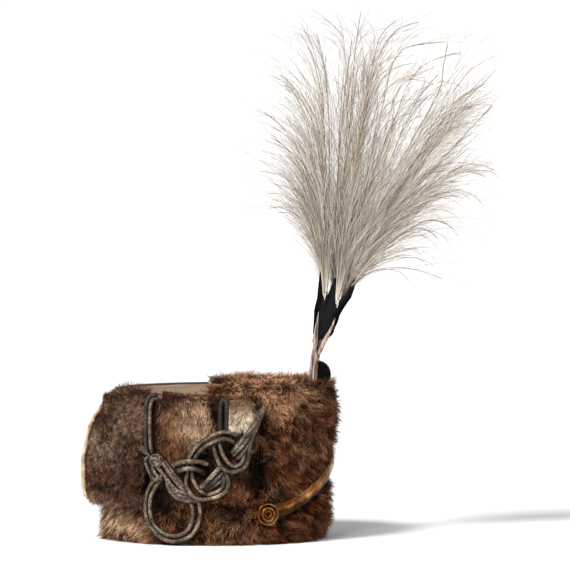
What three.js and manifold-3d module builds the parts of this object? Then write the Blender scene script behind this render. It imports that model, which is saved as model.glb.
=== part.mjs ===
// A hussar's fur busby: a stiff oval cap with fur panels and flaps, a gilt chin strap, a plaited
// cap cord on the right side, a black cockade and a tall egret plume. Millimetres, +Z up, the
// front of the hat towards +X and the wearer's right side towards -Y.
import * as THREE from 'three';
import { mergeVertices } from 'three/addons/utils/BufferGeometryUtils.js';
import loadManifold from 'manifold-3d';

const wasm = await loadManifold();
wasm.setup();
const { Manifold, Mesh: SolidMesh } = wasm;

// Driving sizes of the stiff cap
const GAP = 0.3;
const WALL = 2.5;
const CAP_HEIGHT = 147;
const HEAD_LENGTH = 201;
const HEAD_WIDTH = 163;
const FLARE_LENGTH = 3;
const FLARE_WIDTH = 2;
const CAP_X = -78.5;
const CAP_LEAN = 5.5;
const CAP_Y = 4.5;
const CROWN_THICK = 2;
const CROWN_TOP = CAP_HEIGHT + GAP + CROWN_THICK;
const REAR = 180;

// Driving sizes of the fur
const FUR_LOW = 3;
const FUR_REAR_HIGH = 145;
const SPLIT = 68;
const SPLIT_GAP = 0.2;
const RIM_LOW = CROWN_TOP + GAP;
const RIM_HIGH = 165;
const RIM_HALF = 92;
const RIM_INSIDE = -6.8;
const RIM_OUTSIDE = 12;
const RIM_DIP = 12;
const RIM_DIP_HALF = 22;
const RIM_WAVE = 1.5;
const PELT_WAVE = 0.5;
const FLAP_GAP = 0.75;
const FLAP_LOW = 37;
const FLAP_HALF = 52;
const FLAP_HIGH = 143;
const FLAP_RISE = 9;
const FLAP_RISE_HALF = 30;
const SIDE_LOW = 46;
const SIDE_FROM = 71;
const SIDE_TO = 123;
const SIDE_THICK = 8.5;
const SIDE_BASE = 9;
const SIDE_THINS_FROM = 120;
const SIDE_THINS = 0.12;
const SIDE_OVER_RIM = 8;

// Driving sizes of the strap, its bosses and the cockade
const STRAP_WIDE = 15;
const STRAP_THICK = 2;
const STRAP_SWELL = 0.8;
const STRAP_SEAT = 8.4;
const STRAP_HALF = 66;
const BOSS_ANGLE = 64;
const BOSS_RADIUS = 11.5;
const BOSS_HEIGHT = 31;
const BOSS_PROUD = 0.9;
const COCKADE = { x: 26.5, z: 163.6, deep: 10.5, wide: 13, high: 13.5 };

// Driving sizes of the cord
const STRAND = 4.4;
const PAIR = 4;
const STRAND_STEP = 2.8;
const KNOT_SEAT = 20.6;
const KNOT_CROSS = 3.4;

const group = new THREE.Group();
const radians = THREE.MathUtils.degToRad;

const FUR_RED = 0x6b3d24;
const FUR_BROWN = 0x4a3024;
const FUR_GREY = 0x4f4036;
const HIDE = 0xc9b28c;
const CLOTH = 0xd8ccb4;
const BLACK = 0x100e0d;
const GILT = 0xb98a3c;
const SILVER = 0x8f8d7c;
const EGRET = 0xe8e2d6;

function add(name, geometry, colour, roughness, metalness = 0) {
  const material = new THREE.MeshStandardMaterial({ color: colour, roughness, metalness });
  const mesh = new THREE.Mesh(geometry, material);
  mesh.name = name;
  group.add(mesh);
  return mesh;
}

// A smooth curve through the rows of a table, giving one named column at one key
function along(rows, key, column, at) {
  const last = rows.length - 1;
  if (at <= rows[0][key]) return rows[0][column];
  if (at >= rows[last][key]) return rows[last][column];
  const i = rows.findIndex((row) => row[key] > at);
  const before = rows[i - 1];
  const after = rows[i];
  const t = (at - before[key]) / (after[key] - before[key]);
  return THREE.MathUtils.lerp(before[column], after[column], t * t * (3 - 2 * t));
}

// The cap's outer oval at a height, and a point on or off it at an angle from the front
function oval(z) {
  const up = z / CAP_HEIGHT;
  return {
    x: CAP_X + CAP_LEAN * up,
    a: HEAD_LENGTH / 2 + WALL + FLARE_LENGTH * up,
    b: HEAD_WIDTH / 2 + WALL + FLARE_WIDTH * up,
  };
}

function onCap(degrees, z, offset) {
  const o = oval(z);
  const t = radians(degrees);
  const x = o.x + (o.a + offset) * Math.cos(t);
  return new THREE.Vector3(x, CAP_Y - (o.b + offset) * Math.sin(t), z);
}

function onRightSide(x, z, offset) {
  const o = oval(z);
  const run = (x - o.x) / (o.a + offset);
  return new THREE.Vector3(x, CAP_Y - (o.b + offset) * Math.sqrt(1 - run * run), z);
}

function outward(degrees, z) {
  const o = oval(z);
  const t = radians(degrees);
  return new THREE.Vector3(Math.cos(t) / o.a, -Math.sin(t) / o.b, 0).normalize();
}

// Booleans for the few places where one piece is let into another
const JOIN_TOLERANCE = 0.15;

function solidOf(geometry) {
  const bare = new THREE.BufferGeometry();
  bare.setAttribute('position', geometry.getAttribute('position').clone());
  if (geometry.index) bare.setIndex(geometry.index.clone());
  const merged = mergeVertices(bare, 1e-4);
  return new Manifold(new SolidMesh({
    numProp: 3,
    vertProperties: new Float32Array(merged.getAttribute('position').array),
    triVerts: new Uint32Array(merged.index.array),
  }));
}

function geometryOf(solid) {
  const mesh = solid.getMesh();
  const geometry = new THREE.BufferGeometry();
  const points = new Float32Array(mesh.vertProperties);
  geometry.setAttribute('position', new THREE.BufferAttribute(points, mesh.numProp));
  geometry.setIndex(new THREE.BufferAttribute(new Uint32Array(mesh.triVerts), 1));
  geometry.computeVertexNormals();
  return geometry;
}

const joined = (...geometries) => geometryOf(
  Manifold.union(geometries.map(solidOf)).simplify(JOIN_TOLERANCE),
);
const cut = (geometry, ...tools) => geometryOf(
  tools.reduce((left, tool) => left.subtract(solidOf(tool)), solidOf(geometry)),
);

// Six times the volume inside a set of faces, negative where they point inwards
function signedVolume(points, faces) {
  let sum = 0;
  for (let i = 0; i < faces.length; i += 3) {
    const [a, b, c] = [points[faces[i]], points[faces[i + 1]], points[faces[i + 2]]];
    sum += a.dot(b.clone().cross(c));
  }
  return sum;
}

// A closed skin over rings of points, with its ends closed by fans or joined to each other
function skin(rings, endless) {
  const count = rings[0].length;
  const points = rings.flat();
  const faces = [];
  const spans = endless ? rings.length : rings.length - 1;
  for (let i = 0; i < spans; i += 1) {
    const here = i * count;
    const next = ((i + 1) % rings.length) * count;
    for (let j = 0; j < count; j += 1) {
      const k = (j + 1) % count;
      faces.push(here + j, next + j, next + k, here + j, next + k, here + k);
    }
  }
  if (!endless) {
    const last = (rings.length - 1) * count;
    for (let j = 1; j < count - 1; j += 1) {
      faces.push(0, j, j + 1, last, last + j + 1, last + j);
    }
  }
  if (signedVolume(points, faces) < 0) faces.reverse();
  const geometry = new THREE.BufferGeometry().setFromPoints(points);
  geometry.setIndex(faces);
  geometry.computeVertexNormals();
  return geometry;
}

// One fur panel or band over the cap: a section at each angle, rounded at its top and bottom
const ROUNDED = [
  { up: 0, swell: 0.45 },
  { up: 0.07, swell: 0.9 },
  { up: 0.3, swell: 1 },
  { up: 0.55, swell: 1 },
  { up: 0.8, swell: 1 },
  { up: 0.94, swell: 0.9 },
  { up: 1, swell: 0.45 },
];

function panel({ from, to, steps, low, high, inner, outer, endless = false, ends = 1 }) {
  const rings = [];
  const count = endless ? steps : steps + 1;
  for (let i = 0; i < count; i += 1) {
    const share = i / steps;
    const angle = THREE.MathUtils.lerp(from, to, share);
    const edge = Math.min(1, Math.min(share, 1 - share) * 8);
    const full = endless ? 1 : THREE.MathUtils.lerp(ends, 1, edge);
    const section = [];
    ROUNDED.forEach(({ up, swell }) => {
      const z = THREE.MathUtils.lerp(low(angle), high(angle), up);
      const inside = inner(angle, z);
      const thick = (outer(angle, z) - inside) * swell * full;
      section.push(onCap(angle, z, inside + thick));
    });
    [...ROUNDED].reverse().forEach(({ up }) => {
      const z = THREE.MathUtils.lerp(low(angle), high(angle), up);
      section.push(onCap(angle, z, inner(angle, z)));
    });
    rings.push(section);
  }
  return skin(rings, endless);
}

// A curved spine with oval sections across it, for the plume and its feathers
function spindle(rows, sides) {
  const rings = rows.map((row, i) => {
    const before = rows[Math.max(0, i - 1)];
    const after = rows[Math.min(rows.length - 1, i + 1)];
    const run = new THREE.Vector2(after.x - before.x, after.z - before.z).normalize();
    const ring = [];
    for (let j = 0; j < sides; j += 1) {
      const t = (2 * Math.PI * j) / sides;
      const across = row.wide * Math.cos(t);
      const deep = row.deep * Math.sin(t);
      const x = row.x + run.y * across;
      const z = row.z - run.x * across;
      ring.push(new THREE.Vector3(x, CAP_Y + (row.back ?? 0) + deep, z));
    }
    return ring;
  });
  return skin(rings, false);
}

// A round tube along a smooth curve through hand-set points
function tube(points, diameter, steps, sides = 8, closed = false) {
  const section = new THREE.Shape();
  for (let i = 0; i < sides; i += 1) {
    const t = (2 * Math.PI * i) / sides;
    const x = (diameter / 2) * Math.cos(t);
    const y = (diameter / 2) * Math.sin(t);
    if (i === 0) section.moveTo(x, y);
    else section.lineTo(x, y);
  }
  const path = new THREE.CatmullRomCurve3(points, closed, 'centripetal');
  return new THREE.ExtrudeGeometry(section, { steps, extrudePath: path });
}

// The stiff cap: an open oval wall, and the pale cloth crown laid on its top edge
const CAP_STEPS = 56;
const CROWN_STEPS = 32;

function capShell() {
  const rings = [];
  for (let i = 0; i < CAP_STEPS; i += 1) {
    const angle = (360 * i) / CAP_STEPS;
    rings.push([
      onCap(angle, 0, 0),
      onCap(angle, CAP_HEIGHT / 2, 0),
      onCap(angle, CAP_HEIGHT, 0),
      onCap(angle, CAP_HEIGHT, -WALL),
      onCap(angle, CAP_HEIGHT / 2, -WALL),
      onCap(angle, 0, -WALL),
    ]);
  }
  return skin(rings, true);
}

function crownTop() {
  const o = oval(CAP_HEIGHT);
  const shape = new THREE.Shape();
  shape.absellipse(o.x, CAP_Y, o.a, o.b, 0, 2 * Math.PI, false, 0);
  const options = { depth: CROWN_THICK, bevelEnabled: false, curveSegments: CROWN_STEPS };
  return new THREE.ExtrudeGeometry(shape, options).translate(0, 0, CAP_HEIGHT + GAP);
}

const PIPING = 3;
const PIPING_FROM = 97;

function crownPiping() {
  const points = [];
  const steps = 22;
  for (let i = 0; i <= steps; i += 1) {
    const angle = THREE.MathUtils.lerp(PIPING_FROM, 360 - PIPING_FROM, i / steps);
    const point = onCap(angle, CAP_HEIGHT, -PIPING / 2);
    points.push(point.setZ(CROWN_TOP + PIPING / 2 + 0.1));
  }
  return tube(points, PIPING, steps);
}

add('cap_shell', capShell(), HIDE, 0.85);
add('crown_top', crownTop(), CLOTH, 0.9);
add('crown_piping', crownPiping(), BLACK, 0.8);

// Gilt strap: its height at each angle from the front, the same on both sides
const STRAP_ROUTE = [
  { angle: 0, height: 76 },
  { angle: 10, height: 72 },
  { angle: 20, height: 63 },
  { angle: 30, height: 54 },
  { angle: 40, height: 45 },
  { angle: 52, height: 36 },
  { angle: STRAP_HALF, height: 30.5 },
];

function strapSolid(spare) {
  const rings = [];
  const steps = 28;
  const half = STRAP_WIDE / 2 + spare;
  for (let i = 0; i <= steps; i += 1) {
    const span = STRAP_HALF + spare / 2;
    const angle = THREE.MathUtils.lerp(-span, span, i / steps);
    const z = along(STRAP_ROUTE, 'angle', 'height', Math.abs(angle));
    const seat = STRAP_SEAT - spare;
    const out = STRAP_SEAT + STRAP_THICK + (spare > 0 ? 20 : 0);
    rings.push([
      onCap(angle, z - half, seat),
      onCap(angle, z - half, out),
      onCap(angle, z, out + STRAP_SWELL),
      onCap(angle, z + half, out),
      onCap(angle, z + half, seat),
    ]);
  }
  return skin(rings, false);
}

function boss(side) {
  const profile = [
    [0, 0],
    [BOSS_RADIUS, 0],
    [BOSS_RADIUS, 1.6],
    [10.2, 2.8],
    [8.6, 2.4],
    [7.4, 4.2],
    [5.4, 4.6],
    [4.2, 3.4],
    [2.4, 3.4],
    [0, 2.8],
  ].map(([r, h]) => new THREE.Vector2(r, h));
  const geometry = new THREE.LatheGeometry(profile, 24).rotateX(Math.PI / 2);
  const angle = side * BOSS_ANGLE;
  const facing = outward(angle, BOSS_HEIGHT);
  const seat = onCap(angle, BOSS_HEIGHT, STRAP_SEAT + STRAP_THICK + STRAP_SWELL + BOSS_PROUD);
  const turn = new THREE.Quaternion().setFromUnitVectors(new THREE.Vector3(0, 0, 1), facing);
  return geometry.applyQuaternion(turn).translate(seat.x, seat.y, seat.z);
}

// Half an egg with a flat back, for the cockade
function cockade(spare) {
  const rings = 7;
  const profile = [new THREE.Vector2(0, 0)];
  for (let i = 0; i <= rings; i += 1) {
    const t = (Math.PI / 2) * (i / rings);
    profile.push(new THREE.Vector2(i === rings ? 0 : Math.cos(t), Math.sin(t)));
  }
  const dome = new THREE.LatheGeometry(profile, 18).rotateZ(-Math.PI / 2);
  dome.scale(COCKADE.deep + spare, COCKADE.high + spare, COCKADE.wide + spare);
  return dome.rotateX(Math.PI / 2).translate(COCKADE.x - spare, CAP_Y, COCKADE.z);
}

// Fur over the cap: how far the pelt stands off the cap at each height
const FRONT_PELT = [
  { z: 3, off: 9.5 },
  { z: 16, off: 11.5 },
  { z: 44, off: 11 },
  { z: 56, off: 9.4 },
  { z: 90, off: 9.4 },
  { z: 108, off: 12.6 },
  { z: 150, off: 12.6 },
];
const REAR_PELT = [
  { z: 3, off: 9 },
  { z: 20, off: 10.5 },
  { z: 60, off: 9 },
  { z: 110, off: 8 },
  { z: 145, off: 5 },
];

function frontFur() {
  const whole = panel({
    from: -SPLIT + SPLIT_GAP,
    to: SPLIT - SPLIT_GAP,
    steps: 26,
    low: () => FUR_LOW,
    high: () => RIM_LOW - GAP,
    inner: () => GAP,
    outer: (angle, z) => along(FRONT_PELT, 'z', 'off', z) + PELT_WAVE * Math.sin(radians(9 * angle)),
  });
  return cut(whole, strapSolid(GAP));
}

function rearFur() {
  return panel({
    from: SPLIT + SPLIT_GAP,
    to: 360 - SPLIT - SPLIT_GAP,
    steps: 36,
    low: () => FUR_LOW,
    high: () => FUR_REAR_HIGH,
    inner: () => GAP,
    outer: (angle, z) => along(REAR_PELT, 'z', 'off', z),
  });
}

// The fur rim stands above the front half of the crown and dips where the cockade sits
function rimFur() {
  const dip = (angle) => RIM_DIP * Math.max(0, 1 - (angle / RIM_DIP_HALF) ** 2);
  const whole = panel({
    from: -RIM_HALF,
    to: RIM_HALF,
    steps: 34,
    low: () => RIM_LOW,
    high: (angle) => RIM_HIGH - dip(angle) + RIM_WAVE * Math.sin(radians(11 * angle)),
    inner: () => RIM_INSIDE,
    outer: () => RIM_OUTSIDE,
    ends: 0.8,
  });
  return cut(whole, cockade(GAP));
}

// The rear flap hangs from the crown edge and stands off towards its lower end
const FLAP_REAR = [
  { z: 36, out: 24 },
  { z: 46, out: 27 },
  { z: 56, out: 29 },
  { z: 80, out: 30 },
  { z: 98, out: 27.5 },
  { z: 110, out: 25 },
  { z: 120, out: 21 },
  { z: 130, out: 14.5 },
  { z: 145, out: 10.5 },
  { z: 152, out: 9 },
];
const FLAP_SIDE = [
  { z: 36, out: 16 },
  { z: 60, out: 18.5 },
  { z: 120, out: 17.5 },
  { z: 152, out: 13 },
];

function flapOut(angle, z) {
  const side = Math.min(1, Math.abs(angle - REAR) / FLAP_HALF);
  const rear = along(FLAP_REAR, 'z', 'out', z);
  return THREE.MathUtils.lerp(rear, along(FLAP_SIDE, 'z', 'out', z), side * side);
}

const peltTop = (z) => along(REAR_PELT, 'z', 'off', Math.min(z, FUR_REAR_HIGH)) + FLAP_GAP;

function rearFlap() {
  return panel({
    from: REAR - FLAP_HALF,
    to: REAR + FLAP_HALF,
    steps: 24,
    low: () => FLAP_LOW,
    high: (angle) => {
      const share = Math.min(1, Math.abs(angle - REAR) / FLAP_RISE_HALF);
      return FLAP_HIGH + FLAP_RISE * share ** 2;
    },
    inner: (angle, z) => peltTop(z),
    outer: flapOut,
    ends: 0.75,
  });
}

// The flap's pale cut edge shows as a thin line down the middle of the back
const EDGE = { low: 90, high: 131, half: 2.6, thick: 1.6, proud: 1.5, steps: 9 };

function flapEdge() {
  const rings = [];
  const aside = new THREE.Vector3(0, EDGE.half, 0);
  for (let i = 0; i <= EDGE.steps; i += 1) {
    const z = THREE.MathUtils.lerp(EDGE.low, EDGE.high, i / EDGE.steps);
    const inside = onCap(REAR, z, flapOut(REAR, z) + EDGE.proud);
    const outside = onCap(REAR, z, flapOut(REAR, z) + EDGE.proud + EDGE.thick);
    rings.push([
      inside.clone().sub(aside),
      inside.clone().add(aside),
      outside.clone().add(aside),
      outside.clone().sub(aside),
    ]);
  }
  return skin(rings, false);
}

// A side flap on each side: its upper edge dips where the pale crown shows, in front of the middle
const SIDE_TOP = [
  { angle: 71, z: 140 },
  { angle: 78, z: 147 },
  { angle: 84, z: 147 },
  { angle: 90, z: 142 },
  { angle: 95, z: 143 },
  { angle: 102, z: 151 },
  { angle: 123, z: 153 },
];

function sideOut(z) {
  return SIDE_BASE + SIDE_THICK - SIDE_THINS * Math.max(0, z - SIDE_THINS_FROM);
}

function sideIn(angle, z) {
  const overRim = z > RIM_LOW - SIDE_OVER_RIM && angle < 95;
  return Math.max(peltTop(z), overRim ? SIDE_OVER_RIM : 0);
}

function sideFlap(side) {
  const turned = (angle) => (side > 0 ? angle : 360 - angle);
  return panel({
    from: side > 0 ? SIDE_FROM : 360 - SIDE_TO,
    to: side > 0 ? SIDE_TO : 360 - SIDE_FROM,
    steps: 16,
    low: () => SIDE_LOW,
    high: (angle) => along(SIDE_TOP, 'angle', 'z', turned(angle)),
    inner: (angle, z) => sideIn(turned(angle), z),
    outer: (angle, z) => sideOut(z),
    ends: 0.6,
  });
}

// A bare lobe of pale hide on the right side, below the rim of fur
const TAB = { x: -53, seat: 17.9, thin: 0.3, swell: 1.2 };

function hideTab() {
  const rows = [
    { z: 113, half: 10 },
    { z: 118, half: 13 },
    { z: 134, half: 14 },
    { z: 143, half: 12 },
    { z: 148, half: 7 },
  ];
  const places = [-1, -0.5, 0, 0.5, 1];
  const at = (side, row, off) => onRightSide(TAB.x + side * row.half, row.z, off);
  const rings = rows.map((row) => [
    ...places.map((side) => at(side, row, TAB.seat + TAB.thin + TAB.swell * (1 - side * side))),
    ...places.toReversed().map((side) => at(side, row, TAB.seat)),
  ]);
  return skin(rings, false);
}

add('front_fur', frontFur(), FUR_RED, 1);
add('rear_fur', rearFur(), FUR_BROWN, 1);
add('rim_fur', rimFur(), FUR_RED, 1);
add('rear_flap', rearFlap(), FUR_GREY, 1);
add('flap_edge', flapEdge(), HIDE, 0.8);
add('right_side_flap', sideFlap(1), FUR_BROWN, 1);
add('left_side_flap', sideFlap(-1), FUR_BROWN, 1);
add('hide_tab', hideTab(), HIDE, 0.9);
add('chin_strap', strapSolid(0), GILT, 0.35, 1);
add('boss_right', boss(1), GILT, 0.3, 1);
add('boss_left', boss(-1), GILT, 0.3, 1);
add('cockade', cockade(0), BLACK, 0.9);

// The plume: quills in a socket behind the cockade, black feathers, and three white bunches
const STEM = [
  { x: 18.6, z: 149.9 },
  { x: 20, z: 172 },
  { x: 24, z: 194 },
];
const STEM_THICK = 9;

function plumeSocket() {
  const profile = [
    [5.3, 0],
    [7, 0],
    [7, 8],
    [5.3, 8],
    [5.3, 0],
  ].map(([r, h]) => new THREE.Vector2(r, h));
  const geometry = new THREE.LatheGeometry(profile, 16).rotateX(Math.PI / 2);
  return geometry.translate(STEM[0].x, CAP_Y, CROWN_TOP + GAP);
}

function onPlume(rows, depth) {
  return rows.map(({ x, z }) => new THREE.Vector3(x, CAP_Y + depth, z));
}

const BASE = [
  { x: 25.5, z: 194.6, wide: 8.5, deep: 6 },
  { x: 29.5, z: 207, wide: 10.5, deep: 7.5 },
  { x: 32.5, z: 220, wide: 12.5, deep: 8.5 },
  { x: 34, z: 232, wide: 14, deep: 9.5 },
  { x: 37, z: 243, wide: 15.5, deep: 10.5 },
  { x: 37.8, z: 249, wide: 16.5, deep: 11 },
];
const LEFT_BUNCH = [
  { x: 29, z: 251.8, wide: 4.4, deep: 6 },
  { x: 26, z: 276, wide: 9, deep: 9 },
  { x: 21, z: 305, wide: 15, deep: 13 },
  { x: 14, z: 335, wide: 21, deep: 17 },
  { x: 7, z: 370, wide: 27, deep: 20 },
  { x: 0, z: 405, wide: 29, deep: 20 },
  { x: -8, z: 440, wide: 24, deep: 16 },
  { x: -14, z: 468, wide: 10, deep: 8 },
];
const CENTRE_BUNCH = [
  { x: 40, z: 249.8, wide: 5.4, deep: 7 },
  { x: 46, z: 276, wide: 9, deep: 10 },
  { x: 52, z: 305, wide: 13.5, deep: 15 },
  { x: 58, z: 335, wide: 19, deep: 19 },
  { x: 64, z: 370, wide: 26, deep: 23 },
  { x: 71, z: 405, wide: 32, deep: 24 },
  { x: 78, z: 445, wide: 35, deep: 22 },
  { x: 84, z: 482, wide: 28, deep: 16 },
  { x: 90, z: 514, wide: 12, deep: 8 },
];
const RIGHT_BUNCH = [
  { x: 51.5, z: 249.2, wide: 4.2, deep: 6 },
  { x: 65, z: 276, wide: 7, deep: 9 },
  { x: 81, z: 305, wide: 11.5, deep: 13 },
  { x: 100, z: 335, wide: 17, deep: 17 },
  { x: 123, z: 370, wide: 24, deep: 20 },
  { x: 145, z: 402, wide: 30, deep: 21 },
  { x: 168, z: 434, wide: 30, deep: 18 },
  { x: 187, z: 460, wide: 21, deep: 12 },
  { x: 199, z: 476, wide: 9, deep: 7 },
];

add('plume_socket', plumeSocket(), BLACK, 0.7);
add('quill_stem', tube(onPlume(STEM, 0), STEM_THICK, 4), HIDE, 0.6);
add('feather_base', spindle(BASE, 12), BLACK, 0.9);
add('plume_left', spindle(LEFT_BUNCH, 10), EGRET, 0.9);
add('plume_centre', spindle(CENTRE_BUNCH, 10), EGRET, 0.9);
add('plume_right', spindle(RIGHT_BUNCH, 10), EGRET, 0.9);

// Quills that show in front of the black feathers
const QUILLS = {
  quill_left: [
    { x: 21.5, z: 196, back: -7.7 },
    { x: 23, z: 215, back: -8.2 },
    { x: 26, z: 233, back: -10 },
    { x: 29, z: 249, back: -11.5 },
  ],
  quill_right: [
    { x: 30, z: 197, back: -7.7 },
    { x: 38, z: 212, back: -8.5 },
    { x: 42, z: 226, back: -9.2 },
    { x: 46, z: 244, back: -10.9 },
  ],
};

Object.entries(QUILLS).forEach(([name, rows]) => {
  const points = rows.map(({ x, z, back }) => new THREE.Vector3(x, CAP_Y + back, z));
  add(name, tube(points, 3, 5), HIDE, 0.6);
});

// The cap cord: two strands side by side. Each row is a place on the right side of the hat and
// how many strands deep the pair lies there.
const ROUTES = {
  rear_fall: [
    { x: -136, z: 150, over: -1.3 },
    { x: -143, z: 148.5, over: -1.1 },
    { x: -146.6, z: 142, over: -0.9 },
    { x: -147, z: 130, over: -0.8 },
    { x: -147.2, z: 113, over: -0.8 },
    { x: -146.8, z: 93.7, over: -0.5 },
  ],
  top_arc: [
    { x: -106, z: 78, over: 0 },
    { x: -104, z: 84, over: 0 },
    { x: -99, z: 93.5, over: 0 },
    { x: -93, z: 99.5, over: 0 },
    { x: -86, z: 104.5, over: 0 },
    { x: -78, z: 108, over: 0.6 },
    { x: -70, z: 109.5, over: 0.8 },
    { x: -62, z: 107.5, over: 0 },
    { x: -55, z: 102, over: 0 },
  ],
  bars: [
    { x: -120, z: 76.5, over: 1 },
    { x: -109, z: 78.5, over: 1 },
    { x: -97, z: 79, over: 1 },
    { x: -87, z: 76, over: 0 },
  ],
  right_loop: [
    { x: -29.5, z: 132, over: 0 },
    { x: -36, z: 119.5, over: 0.5 },
    { x: -42, z: 108.5, over: 1 },
    { x: -45, z: 98.5, over: 1 },
    { x: -45.5, z: 87.5, over: 0 },
    { x: -50, z: 78.5, over: 0 },
    { x: -58, z: 74.5, over: 0 },
    { x: -67, z: 76.5, over: 1 },
    { x: -73, z: 83.5, over: 1 },
    { x: -76, z: 91.5, over: 0.5 },
    { x: -77, z: 100, over: 0 },
  ],
  neck: [
    { x: -31.5, z: 133.5, over: 0 },
    { x: -38.5, z: 123.5, over: 0.6 },
    { x: -47, z: 111.5, over: 1 },
    { x: -55, z: 100.5, over: 1 },
    { x: -62, z: 91.5, over: 0.8 },
    { x: -69, z: 87, over: 0 },
  ],
  lower_loop: [
    { x: -101, z: 77, over: 0 },
    { x: -102.5, z: 72, over: 0 },
    { x: -104.5, z: 65.5, over: 1 },
    { x: -104, z: 58.5, over: 1 },
    { x: -99.5, z: 53, over: 1 },
    { x: -93, z: 49.5, over: 0.8 },
    { x: -86, z: 50, over: 0 },
    { x: -78, z: 51.5, over: 0 },
    { x: -71, z: 56, over: 0.5 },
    { x: -68.5, z: 63.5, over: 1 },
    { x: -71, z: 71, over: 0.5 },
    { x: -76, z: 77, over: 0 },
  ],
  inner_bar: [
    { x: -72, z: 75, over: 1 },
    { x: -81, z: 66.5, over: 1 },
    { x: -90, z: 58.5, over: 0.5 },
    { x: -95, z: 53, over: 0 },
  ],
  diagonal: [
    { x: -129, z: 81, over: 1 },
    { x: -122, z: 71.5, over: 1 },
    { x: -115, z: 62.5, over: 1 },
    { x: -107, z: 55.5, over: 0.3 },
  ],
  diagonal_rear: [
    { x: -140, z: 78, over: 0.6 },
    { x: -133, z: 69.5, over: 1 },
    { x: -126, z: 61.5, over: 1 },
    { x: -118, z: 54.5, over: 0.5 },
    { x: -108, z: 51, over: 0.2 },
  ],
  lower_arc: [
    { x: -127, z: 56, over: 0 },
    { x: -121, z: 49.5, over: 0 },
    { x: -114, z: 46.5, over: 0.2 },
    { x: -104, z: 46, over: 0.4 },
    { x: -95, z: 45.5, over: 0 },
  ],
  rear_loop: [
    { x: -149, z: 87, over: 0 },
    { x: -146, z: 77, over: 0 },
    { x: -143, z: 69, over: 0 },
    { x: -138, z: 66, over: 0 },
    { x: -134, z: 70, over: 0 },
  ],
  ring: [
    { x: -139.5, z: 58.5, over: -0.75 },
    { x: -142.5, z: 53.5, over: -0.75 },
    { x: -146, z: 44.5, over: -0.3 },
    { x: -146.8, z: 32.5, over: -0.6 },
    { x: -144, z: 21.5, over: -0.9 },
    { x: -137, z: 11.5, over: -1.2 },
    { x: -128, z: 6.8, over: -1.3 },
    { x: -118, z: 5.6, over: -1.4 },
    { x: -108, z: 8.5, over: -1.3 },
    { x: -101, z: 16, over: -1.1 },
    { x: -97.5, z: 26, over: -0.8 },
    { x: -98.3, z: 40.4, over: -0.1 },
  ],
};
const KNOT_ROUTES = [
  'top_arc',
  'bars',
  'right_loop',
  'neck',
  'lower_loop',
  'inner_bar',
  'diagonal',
  'diagonal_rear',
  'lower_arc',
  'rear_loop',
];

function strandPoints(route, side) {
  return route.map((row, i) => {
    const before = route[Math.max(0, i - 1)];
    const after = route[Math.min(route.length - 1, i + 1)];
    const run = new THREE.Vector2(after.x - before.x, after.z - before.z).normalize();
    const x = row.x + (run.y * side * PAIR) / 2;
    const z = row.z - (run.x * side * PAIR) / 2;
    return onRightSide(x, z, KNOT_SEAT + row.over * KNOT_CROSS);
  });
}

function strand(route, side) {
  const points = strandPoints(route, side);
  const length = new THREE.CatmullRomCurve3(points, false, 'centripetal').getLength();
  return tube(points, STRAND, Math.max(3, Math.round(length / (STRAND_STEP * STRAND))));
}

function pairOf(name) {
  return [strand(ROUTES[name], 1), strand(ROUTES[name], -1)];
}

// The front fall is one strand that rises, turns over and comes down beside itself
const FRONT_FALL = [
  { x: -72.4, z: 115.5 },
  { x: -72.6, z: 124 },
  { x: -72.6, z: 134 },
  { x: -72.3, z: 140.5 },
  { x: -69.8, z: 144 },
  { x: -67.3, z: 140.5 },
  { x: -67, z: 134 },
  { x: -67, z: 124 },
  { x: -67.2, z: 115.5 },
];

function frontFall() {
  const points = FRONT_FALL.map(({ x, z }) => onRightSide(x, z, KNOT_SEAT));
  return tube(points, STRAND, 12);
}

const END_KNOT = { x: -139, z: 85.5, out: 5.8, wide: 6, deep: 4.5, high: 6.2 };

function endKnot() {
  const ball = new THREE.SphereGeometry(1, 12, 8);
  const place = onRightSide(END_KNOT.x, END_KNOT.z, KNOT_SEAT + END_KNOT.out);
  ball.scale(END_KNOT.wide, END_KNOT.deep, END_KNOT.high);
  return ball.translate(place.x, place.y, place.z);
}

const CORD_END = [
  { x: -156.5, z: 94.5, over: 0.1 },
  { x: -152, z: 91.5, over: 0.4 },
  { x: -148, z: 88.3, over: 1.5 },
];

function cordEnd() {
  const points = CORD_END.map(({ x, z, over }) => onRightSide(x, z, KNOT_SEAT + over * KNOT_CROSS));
  return tube(points, STRAND, 3);
}

add('plaited_knot', joined(...KNOT_ROUTES.flatMap(pairOf)), SILVER, 0.6, 0.4);
add('rear_cord', joined(...pairOf('rear_fall')), SILVER, 0.6, 0.4);
add('front_cord', frontFall(), SILVER, 0.6, 0.4);
add('ring_cord', joined(...pairOf('ring')), SILVER, 0.6, 0.4);
add('end_knot', endKnot(), HIDE, 0.8);
add('cord_end', cordEnd(), SILVER, 0.7, 0.3);

export default group;
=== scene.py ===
# %% [markdown]
# # A hussar's fur busby
#
# This lesson dresses the plain solids of a fur cap in fur, cloth, cord, gilt metal and feather.
# The cap is an oval wall with a cloth crown. Fur covers it in panels, a flap hangs over each side
# and the back, and a plaited cord, a chin strap, a cockade and a tall plume trim it.
#
# Lengths are in metres. The front of the hat faces +X and the wearer's right side faces -Y.

# %% Load the frame
import math

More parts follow.
